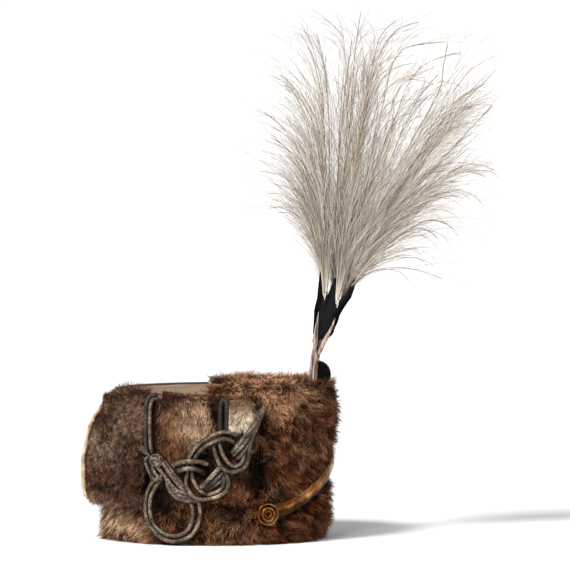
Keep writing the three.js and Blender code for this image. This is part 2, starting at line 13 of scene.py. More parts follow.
import bpy
import numpy as np
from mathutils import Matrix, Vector


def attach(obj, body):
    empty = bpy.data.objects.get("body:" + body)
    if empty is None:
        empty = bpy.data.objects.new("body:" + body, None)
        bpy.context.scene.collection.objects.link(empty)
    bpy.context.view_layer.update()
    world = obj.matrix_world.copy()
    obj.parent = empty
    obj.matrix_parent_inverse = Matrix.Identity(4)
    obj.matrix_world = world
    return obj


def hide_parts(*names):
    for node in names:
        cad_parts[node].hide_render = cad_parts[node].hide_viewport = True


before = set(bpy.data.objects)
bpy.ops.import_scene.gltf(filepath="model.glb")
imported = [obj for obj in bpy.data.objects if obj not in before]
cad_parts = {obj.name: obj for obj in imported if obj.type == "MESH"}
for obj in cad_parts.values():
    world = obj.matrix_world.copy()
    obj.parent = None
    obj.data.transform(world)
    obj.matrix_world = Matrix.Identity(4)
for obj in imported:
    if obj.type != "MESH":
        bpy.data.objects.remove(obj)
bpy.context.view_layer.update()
MM = 0.001

# %% [markdown]
# ## The stage, the light and the camera
#
# A cut-out product picture has a white ground and even light. A wide pale floor runs past the
# edges of the picture, and a low white ring stands round it far off, so that no horizon shows. The
# ring is only seen: it lights nothing and casts no shadow. A soft sun from the upper left gives the
# fur its shadows, the pale sky fills them, and one soft box puts a clear glint on the gilt.
#
# The camera looks at the wearer's right side with a long lens from far off, so near and far parts
# keep their true sizes. It stands a few degrees above the hat, enough to show the far edge of the
# crown as a thin strip.

# %% Colour helpers
def linear(red, green, blue):
    """A paint colour of 0 to 255, as the linear light that shaders use."""
    shares = (red / 255, green / 255, blue / 255)
    light = [v / 12.92 if v <= 0.04045 else ((v + 0.055) / 1.055) ** 2.4 for v in shares]
    return (*light, 1.0)


def grey(share):
    """A grey in linear light, which also serves as a plain number."""
    return (share, share, share, 1)


WHITE = grey(1)


# %% Node helpers
def start_material(name):
    """A new material with an empty Principled shader: its tree, the shader and itself."""
    material = bpy.data.materials.new(name)
    material.use_nodes = True
    tree = material.node_tree
    tree.nodes.clear()
    out = tree.nodes.new("ShaderNodeOutputMaterial")
    shader = tree.nodes.new("ShaderNodeBsdfPrincipled")
    tree.links.new(shader.outputs["BSDF"], out.inputs["Surface"])
    print("finish:", name)
    return material, tree, shader


def feed(tree, socket, value):
    """Links a socket to another one, or sets it to a fixed value."""
    if isinstance(value, bpy.types.NodeSocket):
        tree.links.new(value, socket)
    else:
        socket.default_value = value


def set_inputs(tree, node, **inputs):
    """Feeds a node's named sockets, with _ for each space in a name."""
    for key, value in inputs.items():
        feed(tree, node.inputs[key.replace("_", " ")], value)


def place(tree, kind, **inputs):
    """A new node of a kind, with its named sockets fed."""
    node = tree.nodes.new(kind)
    set_inputs(tree, node, **inputs)
    return node


def ramp(tree, factor, *stops):
    """A colour ramp through (place, colour) stops."""
    node = tree.nodes.new("ShaderNodeValToRGB")
    tree.links.new(factor, node.inputs["Fac"])
    elements = node.color_ramp.elements
    while len(elements) < len(stops):
        elements.new(0.5)
    for element, (at, colour) in zip(elements, stops):
        element.position = at
        element.color = colour
    return node.outputs["Color"]


# The mix node's sockets for colours: its factor, its two colours, and its result.
MIX_SOCKETS = (0, 6, 7)
MIX_RESULT = 2


def blend(tree, factor, first, second, kind="MIX"):
    """Mixes two colours, each a socket or a fixed colour."""
    node = tree.nodes.new("ShaderNodeMix")
    node.data_type = "RGBA"
    node.blend_type = kind
    for at, value in zip(MIX_SOCKETS, (factor, first, second)):
        feed(tree, node.inputs[at], value)
    return node.outputs[MIX_RESULT]


def sums(tree, operation, first, second):
    """One step of arithmetic on numbers or sockets."""
    node = tree.nodes.new("ShaderNodeMath")
    node.operation = operation
    for socket, value in zip(node.inputs, (first, second)):
        feed(tree, socket, value)
    return node.outputs[0]


def read_value(tree, key):
    """A number stored at a mesh's points."""
    node = tree.nodes.new("ShaderNodeAttribute")
    node.attribute_name = key
    return node.outputs["Fac"]


def own_place(tree):
    """The place of each surface point in the object's own coordinates."""
    return tree.nodes.new("ShaderNodeTexCoord").outputs["Object"]


def noise(tree, scale, detail=3.0, roughness=0.55, stretch=None):
    """A noise value over the object's own coordinates, stretched where asked."""
    where = own_place(tree)
    if stretch:
        where = place(tree, "ShaderNodeMapping", Vector=where, Scale=stretch).outputs[0]
    spots = place(
        tree, "ShaderNodeTexNoise", Vector=where, Scale=scale, Detail=detail, Roughness=roughness
    )
    return spots.outputs["Fac"]


def bump(tree, shader, height, strength, distance):
    """Roughens the shader's surface by a height socket."""
    node = place(tree, "ShaderNodeBump", Height=height, Strength=strength, Distance=distance)
    tree.links.new(node.outputs["Normal"], shader.inputs["Normal"])


# %% Floor
FLOOR_HALF = 150.0
FLOOR_GREY = grey(0.93)


def show(name, mesh, material):
    """Puts a mesh into the scene as an object, with a material."""
    mesh.materials.append(material)
    piece = bpy.data.objects.new(name, mesh)
    bpy.context.scene.collection.objects.link(piece)
    return piece


floor_material, tree, shader = start_material("pale_floor")
set_inputs(tree, shader, Base_Color=FLOOR_GREY, Roughness=0.9, Specular_IOR_Level=0.0)
corners = [(x * FLOOR_HALF, y * FLOOR_HALF, 0) for x, y in ((-1, -1), (1, -1), (1, 1), (-1, 1))]
floor_mesh = bpy.data.meshes.new("floor")
floor_mesh.from_pydata(corners, [], [(0, 1, 2, 3)])
floor = show("floor", floor_mesh, floor_material)

# %% Backdrop
BACKDROP_FAR = 16.0
BACKDROP_HIGH = 1.5
BACKDROP_SIDES = 64
corners, faces = [], []
for i in range(BACKDROP_SIDES):
    turn = 2 * math.pi * i / BACKDROP_SIDES
    x, y = BACKDROP_FAR * math.cos(turn), BACKDROP_FAR * math.sin(turn)
    corners += [(x, y, 0), (x, y, BACKDROP_HIGH)]
    here, there = 2 * i, 2 * ((i + 1) % BACKDROP_SIDES)
    faces.append((here, there, there + 1, here + 1))
backdrop_material, tree, shader = start_material("white_backdrop")
set_inputs(tree, shader, Base_Color=grey(0), Emission_Color=WHITE, Emission_Strength=1.0)
backdrop_mesh = bpy.data.meshes.new("backdrop")
backdrop_mesh.from_pydata(corners, [], faces)
backdrop = show("backdrop", backdrop_mesh, backdrop_material)
backdrop.visible_diffuse = False
backdrop.visible_glossy = False
backdrop.visible_shadow = False

# %% Light
SKY = 0.46
SUN = 3.3
SUN_AT = (-1.6, -1.9, 2.8)
SUN_WIDE = math.radians(15)
BOX = 9.0
BOX_AT = (-0.5, -1.7, 1.1)
BOX_WIDE = 0.35
world = bpy.data.worlds.new("pale_sky")
world.use_nodes = True
set_inputs(world.node_tree, world.node_tree.nodes["Background"], Color=WHITE, Strength=SKY)
bpy.context.scene.world = world


def add_light(name, kind, power, stand, aim, size):
    """A lamp of a kind that stands at a place, turned towards a point, with a soft size."""
    lamp = bpy.data.lights.new(name, kind)
    lamp.energy = power
    if kind == "SUN":
        lamp.angle = size
    else:
        lamp.shape = "DISK"
        lamp.size = size
    holder = bpy.data.objects.new(name, lamp)
    holder.location = stand
    holder.rotation_euler = (Vector(aim) - Vector(stand)).to_track_quat("-Z", "Y").to_euler()
    bpy.context.scene.collection.objects.link(holder)


add_light("sun", "SUN", SUN, SUN_AT, (0, 0, 0), SUN_WIDE)
add_light("soft_box", "AREA", BOX, BOX_AT, (0, 0, 0.1), BOX_WIDE)

# %% Camera
VIEW_RISE = math.radians(3.5)
VIEW_FAR = 8.0
VIEW_WIDE = 0.570
VIEW_AT = Vector((-0.009, 0.0, 0.2535))
SENSOR = 36.0
camera_data = bpy.data.cameras.new("camera")
camera_data.sensor_width = SENSOR
camera_data.lens = SENSOR * VIEW_FAR / VIEW_WIDE
camera = bpy.data.objects.new("camera", camera_data)
camera.location = VIEW_AT + VIEW_FAR * Vector((0, -math.cos(VIEW_RISE), math.sin(VIEW_RISE)))
camera.rotation_euler = (VIEW_AT - camera.location).to_track_quat("-Z", "Y").to_euler()
bpy.context.scene.collection.objects.link(camera)
bpy.context.scene.camera = camera
bpy.context.scene.view_settings.view_transform = "Standard"
print("lens", round(camera_data.lens), "mm at", VIEW_FAR, "m")

# %% [markdown]
# ## The cap's own shape
#
# Everything on the hat lies on an oval wall, so one small set of helpers turns an angle from the
# front, a height and a distance off the wall into a point. The cords, the strap and every hair
# root use them. The sizes repeat those of the solids: the hollow for the head, the wall, and the
# small lean and flare towards the crown.

# %% Oval of the cap
HEAD_LONG = 201 * MM
HEAD_WIDE = 163 * MM
WALL = 2.5 * MM
CAP_HIGH = 147 * MM
FLARE_LONG = 3 * MM
FLARE_WIDE = 2 * MM
CAP_X = -78.5 * MM
CAP_LEAN = 5.5 * MM
CAP_Y = 4.5 * MM


def oval(z):
    """Centre and half sizes of the cap wall's outside at a height."""
    up = np.asarray(z) / CAP_HIGH
    half_long = HEAD_LONG / 2 + WALL + FLARE_LONG * up
    half_wide = HEAD_WIDE / 2 + WALL + FLARE_WIDE * up
    return CAP_X + CAP_LEAN * up, half_long, half_wide


def unit(ways, least=0.0):
    """Directions of length one. A small least length keeps a zero direction from failing."""
    return ways / (np.linalg.norm(ways, axis=-1, keepdims=True) + least)


def on_cap(degrees, z, off):
    """Points at angles from the front, heights and distances off the wall."""
    x, a, b = oval(z)
    turn = np.radians(degrees)
    px = x + (a + off) * np.cos(turn)
    py = CAP_Y - (b + off) * np.sin(turn)
    return np.stack(np.broadcast_arrays(px, py, z), axis=-1)


def on_right_side(x, z, off):
    """The point of the right side at a place and a height, at a distance off the wall."""
    centre, a, b = oval(z)
    run = (np.asarray(x) - centre) / (a + off)
    py = CAP_Y - (b + off) * np.sqrt(np.maximum(1 - run * run, 0))
    return np.stack(np.broadcast_arrays(x, py, z), axis=-1)


def outward(degrees, z):
    """The level direction away from the wall."""
    _, a, b = oval(z)
    turn = np.radians(degrees)
    way = np.stack(np.broadcast_arrays(np.cos(turn) / a, -np.sin(turn) / b, 0 * turn), axis=-1)
    return unit(way)


def angle_of(points):
    """The angle from the front, in degrees, of points near the wall."""
    x, a, b = oval(points[..., 2])
    return np.degrees(np.arctan2((CAP_Y - points[..., 1]) / b, (points[..., 0] - x) / a))


# %% Mesh helpers
def store(mesh, values):
    """Stores named numbers at a mesh's points, for its material to read."""
    for key, column in values.items():
        layer = mesh.attributes.new(key, "FLOAT", "POINT")
        layer.data.foreach_set("value", np.asarray(column, dtype=np.float32).ravel())


def add_mesh(name, points, faces, material, values=None):
    """A smooth mesh object from points and faces, with a material and numbers at its points."""
    mesh = bpy.data.meshes.new(name)
    mesh.from_pydata(np.asarray(points).reshape(-1, 3).tolist(), [], faces)
    store(mesh, values or {})
    mesh.polygons.foreach_set("use_smooth", [True] * len(mesh.polygons))
    print(name, "faces:", len(faces))
    return show(name, mesh, material)


def ring_faces(rings, count, first=0):
    """Quads between neighbouring rings of points, and a cap on each end."""
    faces = []
    for here in range(first, first + (rings - 1) * count, count):
        for j in range(count):
            k = (j + 1) % count
            faces.append((here + j, here + k, here + count + k, here + count + j))
    faces.append(tuple(first + j for j in reversed(range(count))))
    faces.append(tuple(first + (rings - 1) * count + j for j in range(count)))
    return faces


def shell_faces(rows, columns):
    """Faces of a thin closed shell: an outer and an inner sheet, and a wall round them."""
    count = rows * columns
    faces = []
    for i in range(rows - 1):
        for j in range(columns - 1):
            k = i * columns + j
            faces.append((k, k + columns, k + columns + 1, k + 1))
            faces.append((count + k, count + k + 1, count + k + columns + 1, count + k + columns))
    for j in range(columns - 1):
        last = (rows - 1) * columns + j
        faces.append((j, j + 1, count + j + 1, count + j))
        faces.append((last + 1, last, count + last, count + last + 1))
    for i in range(rows - 1):
        k, m = i * columns, (i + 1) * columns
        faces.append((m, k, count + k, count + m))
        k, m = k + columns - 1, m + columns - 1
        faces.append((k, m, count + m, count + k))
    return faces


# %% Line helpers
FINE_STEPS = 24


def run_of(line):
    """How far along a line each of its points lies."""
    return np.concatenate(([0], np.cumsum(np.linalg.norm(np.diff(line, axis=0), axis=1))))


def smooth_line(points, step):
    """Evenly spaced points, about a step apart, on a smooth curve through hand-set points."""
    p = np.asarray(points, dtype=float)
    q = np.concatenate((2 * p[:1] - p[1:2], p, 2 * p[-1:] - p[-2:-1]))
    t = np.linspace(0, 1, FINE_STEPS, endpoint=False)[:, None]
    fine = []
    for a, b, c, d in zip(q, q[1:], q[2:], q[3:]):
        start = 2 * b + (c - a) * t + (2 * a - 5 * b + 4 * c - d) * t**2
        fine.append(0.5 * (start + (3 * b - a - 3 * c + d) * t**3))
    fine.append(q[-2][None])
    fine = np.concatenate(fine)
    run = run_of(fine)
    at = np.linspace(0, run[-1], max(3, round(run[-1] / step) + 1))
    return np.stack([np.interp(at, run, fine[:, k]) for k in range(3)], axis=1), run[-1]


def across(line, towards):
    """Two directions square to a line at each of its points, the first nearest to a given way."""
    run = unit(np.gradient(line, axis=0))
    first = unit(towards - run * np.sum(towards * run, axis=1, keepdims=True))
    return first, np.cross(run, first)


def round_ways(turn, first, second):
    """Directions at turns about a line, from two ways square to it."""
    return np.cos(turn)[..., None] * first + np.sin(turn)[..., None] * second


def read_line(line, shares):
    """The points, or directions, of a line at shares of its way, 0 to 1."""
    at = shares * (len(line) - 1)
    return np.stack([np.interp(at, np.arange(len(line)), line[:, k]) for k in range(3)], axis=1)


print("cap oval at the rim, mm:", [round(float(v) / MM, 1) for v in oval(0.0)])

# %% Put pieces on the hat
def fit_out(pieces, node):
    """Puts pieces on the hat's one body, in place of a plain solid."""
    for piece in pieces:
        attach(piece, "root")
        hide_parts(node)


# %% [markdown]
# ## Hat cord
#
# The cord is silver gimp: round cord covered in fine wire thread that has tarnished to a brown
# grey. It is worn doubled almost everywhere, so most runs are a pair of strands side by side. A
# strand is a thin tube whose surface is raised in slanting ridges by its real geometry, for the lay
# of the thread, with finer thread and dark specks of dirt from the material. The material also
# paints shade on each strand's sides and back, away from the outside of the hat. Some strands are
# a little thicker than others, and each has its own width and brightness; a strand of lower
# brightness is painted darker all over.
#
# The plait is a set of loops that pass over and under each other. Each point of a route is a place
# on the right side, a height, and a step over or under the middle of the plait. The two falls and
# the ring hang free between their ends.

# %% Silver cord material
def make_silver_cord():
    """Tarnished wire thread: silver patches on brown grey, darker between the thread ridges,
    faintly shiny.

    Painted shade turns each strand's sides and back near black.
    """
    material, tree, shader = start_material("silver_cord")
    shade_and_tarnish = read_value(tree, "shade_and_tarnish")
    patches = noise(tree, 90.0, 4.0)
    base = ramp(
        tree, patches, (0.34, linear(46, 36, 27)), (0.45, linear(106, 87, 67)),
        (0.56, linear(146, 123, 99)), (0.68, linear(200, 176, 149)),
    )
    darkening = noise(tree, 640.0, 2.0)
    dark = ramp(tree, darkening, (0.42, (0.06, 0.05, 0.04, 1)), (0.54, WHITE))
    base = blend(tree, 0.9, base, dark, "MULTIPLY")
    # Painted shade and tarnish: a low stored value, on the strands' sides and back and between the
    # thread ridges, turns the cord near black.
    low = ramp(
        tree, shade_and_tarnish, (0.0, (0.04, 0.035, 0.03, 1)), (0.35, (0.22, 0.2, 0.18, 1)), (0.8, WHITE)
    )
    base = blend(tree, 1.0, base, low, "MULTIPLY")
    shine = ramp(tree, patches, (0.3, grey(0.7)), (0.7, grey(0.5)))
    set_inputs(tree, shader, Base_Color=base, Roughness=shine, Metallic=0.25)
    bump(tree, shader, noise(tree, 1800.0, 2.0), 0.5, 0.0004)
    return material


silver_cord = make_silver_cord()

# %% Strand helper
STRAND = 4.8 * MM
STRAND_SIDES = 12
STRAND_STEP = 0.8 * MM
LAY_TURN = 3.4 * MM
LAY_DEEP = 0.16 * MM
THREADS = 4


def strand_points(line, diameter, towards):
    """Rings round a line, raised in slanting thread ridges, and a light value at each point.

    The value is lower between the thread ridges, and zero on the strand's sides and back, away from
    the outside of the hat, as painted shade.
    """
    sides = np.arange(STRAND_SIDES) * 2 * np.pi / STRAND_SIDES
    first, second = across(line, towards)
    run = run_of(line)
    slant = THREADS * sides[None, :] + run[:, None] / LAY_TURN * 2 * np.pi
    ridge = np.abs(np.cos(slant / 2))
    radius = diameter / 2 - LAY_DEEP * (1 - ridge)
    short = np.minimum(run, run[-1] - run)[:, None] / (diameter * 0.35)
    radius = radius * np.sqrt(np.clip(0.25 + short, 0, 1))
    ring = line[:, None] + radius[..., None] * round_ways(sides, first[:, None], second[:, None])
    # Painted shade: zero on the strand's sides and back, away from the outside of the hat.
    face = np.clip((np.cos(sides) - 0.3) / 0.5, 0, 1)
    return ring.reshape(-1, 3), ((0.55 + 0.45 * ridge) * face).ravel()


def add_strands(name, lines, widths, brightness):
    """One piece of several strands: each a line with the way out, a width and its brightness."""
    points, faces, grooves, count = [], [], [], 0
    for (line, towards), wide, lightness in zip(lines, widths, brightness):
        ring, ridge = strand_points(line, wide, towards)
        faces += ring_faces(len(line), STRAND_SIDES, first=count)
        points.append(ring)
        # Painted shade and tarnish: the strand's light values, scaled by its brightness.
        grooves.append(ridge * lightness)
        count += len(ring)
    values = {"shade_and_tarnish": np.concatenate(grooves)}
    return add_mesh(name, np.concatenate(points), faces, silver_cord, values)


# %% Cord strands on the right side
KNOT_SEAT = 20.6 * MM
KNOT_CROSS = 3.4 * MM
# Each point: place along the hat and height in millimetres, and the step over or under.
STRANDS = {
    "fall_rear": [
        (-134.9, 149.3, -2.2), (-139.3, 149.3, -1.4), (-143.3, 146.8, -0.9), (-146, 140.9, -0.6),
        (-146.8, 133, -0.5), (-146.9, 116.2, -0.5), (-146.7, 101.3, -0.6), (-144.8, 90.4, -0.9),
    ],
    "fall_front": [
        (-133.9, 145.3, -2.2), (-137.9, 145.3, -1.4), (-140.8, 142.9, -0.9), (-142.1, 137.9, -0.6),
        (-142.7, 130, -0.5), (-142.7, 116.2, -0.5), (-142.1, 101.3, -0.6), (-140.5, 90.4, -0.9),
    ],
    "arc_outer": [
        (-105.8, 78.6, -0.6), (-104.5, 85.5, -0.4), (-100.9, 93.5, 0), (-94.9, 100.7, 0.1),
        (-86.7, 106.9, 0.2), (-78.5, 111.9, 0.5), (-69.3, 114.5, 0.6), (-62.2, 113.2, 0.1),
        (-55.4, 110.2, -1),
    ],
    "arc_inner": [
        (-101, 76.6, -0.6), (-98.9, 85.5, -0.4), (-92.8, 95.6, 0), (-85.6, 101.2, 0.1),
        (-77.5, 105.4, 0.5), (-69.3, 107.6, 0.6), (-62.2, 105.4, 0.2), (-57.4, 101.3, -0.5),
        (-54.4, 97.3, -0.9),
    ],
    "bar_upper": [
        (-120.6, 80, 0.3), (-112.7, 83.8, 0.9), (-102.8, 85.2, 1.1), (-93.5, 84.6, 0.6),
        (-88, 82.6, -0.9), (-85, 81, -2.4),
    ],
    "bar_lower": [
        (-115.6, 75, 0.3), (-107.7, 77.6, 1), (-100.8, 78, 1), (-94.9, 76.4, 0.4),
        (-90.4, 73.6, -0.9), (-88, 71.5, -2.4),
    ],
    "loop_left_outer": [
        (-30.7, 138.4, -2.6), (-31.5, 132, -1.2), (-35.2, 123.1, 0.1), (-38.6, 115.2, 0.6),
        (-41.8, 107.7, 0.8), (-44, 100.3, 0.8), (-44.9, 92.4, 0.7), (-45.9, 85.5, 0.5),
        (-49.5, 78.6, 0.2), (-57.4, 75, 0.1), (-65.8, 75.6, 0.7), (-71.7, 79.4, 1.1),
        (-75.6, 86.5, 0.6), (-78.3, 94.4, 0.1), (-80.1, 102.3, -0.8),
    ],
    "loop_left_inner": [
        (-34.9, 134, -2.2), (-37.1, 125.1, -0.2), (-41, 116.2, 0.4), (-44.5, 108.7, 0.5),
        (-48, 101.3, 0.3), (-49.1, 93.4, 0.3), (-50.5, 86.5, 0.2), (-53.9, 81.5, 0.1),
        (-59.4, 80.1, 0.2), (-65.3, 84.2, 0.6), (-69.8, 90.9, 0.7), (-72.6, 98.3, 0.2),
        (-74.2, 105.3, -0.8),
    ],
    "neck_upper": [
        (-32.9, 135.9, -2.4), (-34.3, 129, -0.6), (-39.1, 121.6, 1), (-45.8, 113.5, 1.5),
        (-52, 106, 1.3), (-57.5, 99, 0.7), (-61.8, 93, -0.6),
    ],
    "neck_middle": [
        (-36.1, 121.1, 0.2), (-43.3, 111.7, 1.1), (-49, 103.1, 1.2), (-55, 96.2, 0.7),
        (-60.3, 89.8, -0.7),
    ],
    "neck_lower": [(-43, 105.3, 0.6), (-47.1, 98.1, 0.9), (-52, 91.8, 0.5), (-56.8, 86.7, -0.6)],
    "left_loop_outer": [
        (-104.4, 77.6, -0.8), (-105.6, 71.6, -0.3), (-106.8, 63.9, 0.9), (-104, 55.7, 1.2),
        (-99, 49.9, 1.2), (-92.4, 47.3, 0.6), (-82.6, 48.3, 0.3), (-74.2, 50.9, 0.3),
        (-67.7, 55.8, 0.4), (-65.1, 63.7, 0.3), (-66.8, 71.1, -0.2), (-70.6, 77.1, -0.9),
    ],
    "left_loop_inner": [
        (-100.6, 75.6, -0.8), (-100.4, 69.2, 0.4), (-97.5, 62.1, 1), (-92.5, 56, 0.9),
        (-86.4, 52.6, 0.4), (-78.6, 54.2, 0.3), (-72.2, 57.8, 0.3), (-69.3, 63.7, 0.2),
        (-70.6, 69.2, -0.3), (-73.7, 74.6, -0.9),
    ],
    "slant_upper": [
        (-71.2, 81.7, -0.6), (-75.9, 76.3, 0.5), (-82.3, 69.5, 1), (-89, 62.3, 0.9),
        (-93.9, 57.2, -0.2),
    ],
    "slant_middle": [
        (-67.3, 76.6, -0.7), (-72.4, 71.6, 0.1), (-78.5, 65.9, 0.5), (-84.8, 60.4, 0.3),
        (-90, 55.8, -0.5),
    ],
    "slant_lower": [
        (-69.2, 68.3, -0.6), (-74.6, 63.7, -0.1), (-80.9, 59.4, -0.1), (-87, 54.8, -0.7),
    ],
    "diagonal_one": [
        (-134.4, 84.5, -0.6), (-129.9, 82.7, 0.6), (-124.6, 75.7, 1), (-118.2, 67.2, 1),
        (-111.7, 59.2, 0.4), (-105.8, 53.8, -0.7),
    ],
    "diagonal_two": [
        (-129, 84.5, -0.8), (-123.9, 78.9, 0.3), (-117.6, 70.9, 0.9), (-111.7, 63.7, 0.6),
        (-105.2, 56.6, -0.6),
    ],
    "diagonal_three": [
        (-137, 83, -0.2), (-134.4, 78.2, 0.6), (-128.5, 70.8, 0.6), (-122.6, 62.7, 0.2),
        (-115.8, 56, 0.1), (-108.1, 53, 0), (-103, 52.4, -1.1),
    ],
    "hook_outer": [
        (-142.3, 88.9, -0.8), (-146.5, 85.3, 0.1), (-145.1, 78.3, 0.2), (-141.9, 71, 0.2),
        (-138.6, 65.9, 0.3), (-133.8, 66.7, 0.3), (-131, 70.8, -0.4),
    ],
    "hook_inner": [
        (-140.3, 82.5, -0.6), (-139.7, 77.6, 0.1), (-137.4, 72, 0.3), (-134, 68.5, 0.3),
        (-130, 65.1, -0.4),
    ],
    "low_arc_outer": [
        (-126, 64.7, -0.5), (-124.3, 58.2, 0), (-120.3, 52, 0.2), (-114.1, 47.3, 0.3),
        (-105.1, 45.3, 0.4), (-96.9, 45.9, 0.3), (-90, 47.9, -0.5),
    ],
    "low_arc_inner": [
        (-124, 64.7, -0.7), (-120.8, 57.2, -0.1), (-115.3, 51.6, 0), (-107.1, 48.9, -0.1),
        (-101.3, 48.9, -1.2),
    ],
    "ring_outer": [
        (-132.9, 69.7, -1), (-136.4, 66.1, -0.7), (-140.7, 61.1, -0.4), (-145, 53.2, -0.2),
        (-147, 42.4, -0.2), (-146.6, 30.5, -0.5), (-142.1, 18.8, -0.9), (-133.2, 9.1, -1.1),
        (-121.6, 4.6, -1.2), (-109.7, 6.3, -1.2), (-100.4, 12.7, -1.1), (-94.9, 22.6, -0.9),
        (-93, 34.5, -0.6), (-94.3, 43.4, -0.3), (-96.9, 48.9, -0.7),
    ],
    "ring_inner": [
        (-128.5, 68.2, -1), (-132.2, 64.3, -0.7), (-137.8, 57.4, -0.4), (-141.7, 47.5, -0.2),
        (-142.7, 36, -0.2), (-140.1, 24.7, -0.6), (-133.8, 15.6, -0.9), (-123.1, 10.1, -1.1),
        (-111.2, 11.7, -1.1), (-103.8, 18.6, -1), (-100.2, 28.3, -0.7), (-100.6, 38.2, -0.4),
        (-102.4, 44.4, -0.4), (-104.3, 49.4, -0.8),
    ],
    "front_fall": [
        (-72.6, 110.2, -0.6), (-73, 122.1, 0), (-73, 134, 0.1), (-72.4, 142.4, 0),
        (-69.6, 145.9, -0.4), (-66.9, 142.4, 0), (-66.7, 134, 0.1), (-66.9, 122.1, 0),
        (-67.3, 110.2, -0.6),
    ],
    "cord_tip": [(-152.6, 98, 0.1), (-148, 93.4, 0.4), (-142.9, 88.1, 1)],
    "knot": [(-136.4, 85.2, 0)],
}


def side_out(points):
    """The way out from the cap at points on its side."""
    return outward(angle_of(points), points[:, 2])


def strand(key):
    """A strand's smooth middle line, and the way outward at each of its points."""
    x, z, over = (np.array(STRANDS[key]) * (MM, MM, 1)).T
    line, _ = smooth_line(on_right_side(x, z, KNOT_SEAT + over * KNOT_CROSS), STRAND_STEP)
    return line, side_out(line)


# %% Falls, ring and plait
OWN_PIECES = {
    "rear_cord": ("fall_rear", "fall_front"),
    "ring_cord": ("ring_outer", "ring_inner"),
    "front_cord": ("front_fall",),
}
NOT_PLAIT = ("cord_tip", "knot") + tuple(key for keys in OWN_PIECES.values() for key in keys)
# How bright each strand is painted: a lower value darkens the whole strand.
USUAL_BRIGHTNESS = 0.85
STRAND_BRIGHTNESS = {
    "fall_rear": 0.3, "fall_front": 0.6, "front_fall": 0.28, "loop_left_outer": 0.62,
    "slant_middle": 0.5, "low_arc_outer": 0.62, "low_arc_inner": 0.65, "neck_middle": 0.7,
    "diagonal_two": 0.7, "slant_upper": 1.0, "bar_upper": 1.0, "bar_lower": 1.0,
    "left_loop_outer": 0.75, "neck_upper": 0.75, "neck_lower": 0.7, "diagonal_one": 0.95,
}
THICK = {
    "bar_upper": 5.6 * MM, "bar_lower": 5.6 * MM, "slant_upper": 5.4 * MM, "diagonal_one": 5.2 * MM,
}


def lay_cord(name, keys):
    """One piece of the strands with given keys, each with its own width and brightness."""
    widths = [THICK.get(key, STRAND) for key in keys]
    brightness = [STRAND_BRIGHTNESS.get(key, USUAL_BRIGHTNESS) for key in keys]
    return add_strands(name, [strand(key) for key in keys], widths, brightness)


plait_keys = [key for key in STRANDS if key not in NOT_PLAIT]
cords = {"plaited_knot": lay_cord("plaited_cord_knot", plait_keys)}
for node, keys in OWN_PIECES.items():
    cords[node] = lay_cord(node + "_strands", keys)
for node, piece in cords.items():
    fit_out((piece,), node)

# %% Small knot and frayed end
KNOT_OUT = 4.6 * MM
KNOT_HALF = np.array((6.6, 4.4, 6.4)) * MM
KNOT_X, KNOT_Z, _ = STRANDS["knot"][0]
KNOT_AT = on_right_side(KNOT_X * MM, KNOT_Z * MM, KNOT_SEAT + KNOT_OUT)
# Each turn: how it leans, how it tilts, and its share of the ball's size.
KNOT_TURNS = [
    (0.3, 0.5, 0.78), (1.2, 1.1, 0.74), (2.2, 0.4, 0.8), (2.8, 1.3, 0.7), (0.8, 0.9, 0.66),
]
TURN_WIDE = 4.0 * MM
TURN_BRIGHTNESS = 0.9
CORE_WIDE = 8.4 * MM
CORE_BRIGHTNESS = 0.7
FRAY_SEED = 11
FRAY_THREADS = 46
FRAY_WIDE = 0.55 * MM
FRAY_BRIGHTNESS = 0.75


def knot_wraps():
    """A cord wound over itself into a small ball: great circles that each lean another way."""
    wraps = []
    for lean, tilt, size in KNOT_TURNS:
        t = np.linspace(0, 2 * np.pi, 42)
        flat = np.stack((np.cos(t), np.sin(t) * math.sin(tilt), np.sin(t) * math.cos(tilt)), axis=1)
        x = flat[:, 0] * math.cos(lean) - flat[:, 2] * math.sin(lean)
        z = flat[:, 0] * math.sin(lean) + flat[:, 2] * math.cos(lean)
        way = np.stack((x, flat[:, 1], z), axis=1)
        wraps.append((KNOT_AT + way * KNOT_HALF * size, way))
    return wraps


def knot_core():
    """A short fat strand through the ball's middle, so that no gap shows between its turns."""
    line = KNOT_AT + np.linspace(-1, 1, 9)[:, None] * np.array((0.0, 0.0, KNOT_HALF[2] * 0.72))
    return add_strands("end_knot_core", [(line, side_out(line))], [CORE_WIDE], [CORE_BRIGHTNESS])


def frayed_end():
    """Loose threads that fan out of the cord's cut end."""
    rng = np.random.default_rng(FRAY_SEED)
    middle, out = strand("cord_tip")
    aside = unit(np.cross(np.gradient(middle, axis=0), out))
    share = np.linspace(0, 1, len(middle))[:, None]
    threads = []
    for _ in range(FRAY_THREADS):
        sway, lift = rng.normal(0, 1.25 * MM), rng.normal(0, 0.7 * MM)
        fan = (1 - share) ** 1.5 * rng.uniform(0.6, 1.9) + 0.55
        start = round(rng.uniform(0, 0.35) * len(middle))
        threads.append(((middle + aside * sway * fan + out * lift * fan)[start:], out[start:]))
    return threads


wraps, threads = knot_wraps(), frayed_end()
end_ball = add_strands("small_end_knot", wraps, [TURN_WIDE] * len(wraps), [TURN_BRIGHTNESS] * len(wraps))
ball_core = knot_core()
cord_tip = add_strands(
    "frayed_cord_end", threads, [FRAY_WIDE] * FRAY_THREADS, [FRAY_BRIGHTNESS] * FRAY_THREADS
)
fit_out((end_ball, ball_core), "end_knot")
fit_out((cord_tip,), "cord_end")

PATH_POINTS = 80


def declare(keys):
    """Reads the middle lines of a piece's strands at even steps; nothing uses them."""
    even = [read_line(strand(key)[0], np.linspace(0, 1, PATH_POINTS)) for key in keys]


declare(OWN_PIECES["rear_cord"])
declare(OWN_PIECES["ring_cord"])
declare(OWN_PIECES["front_cord"])

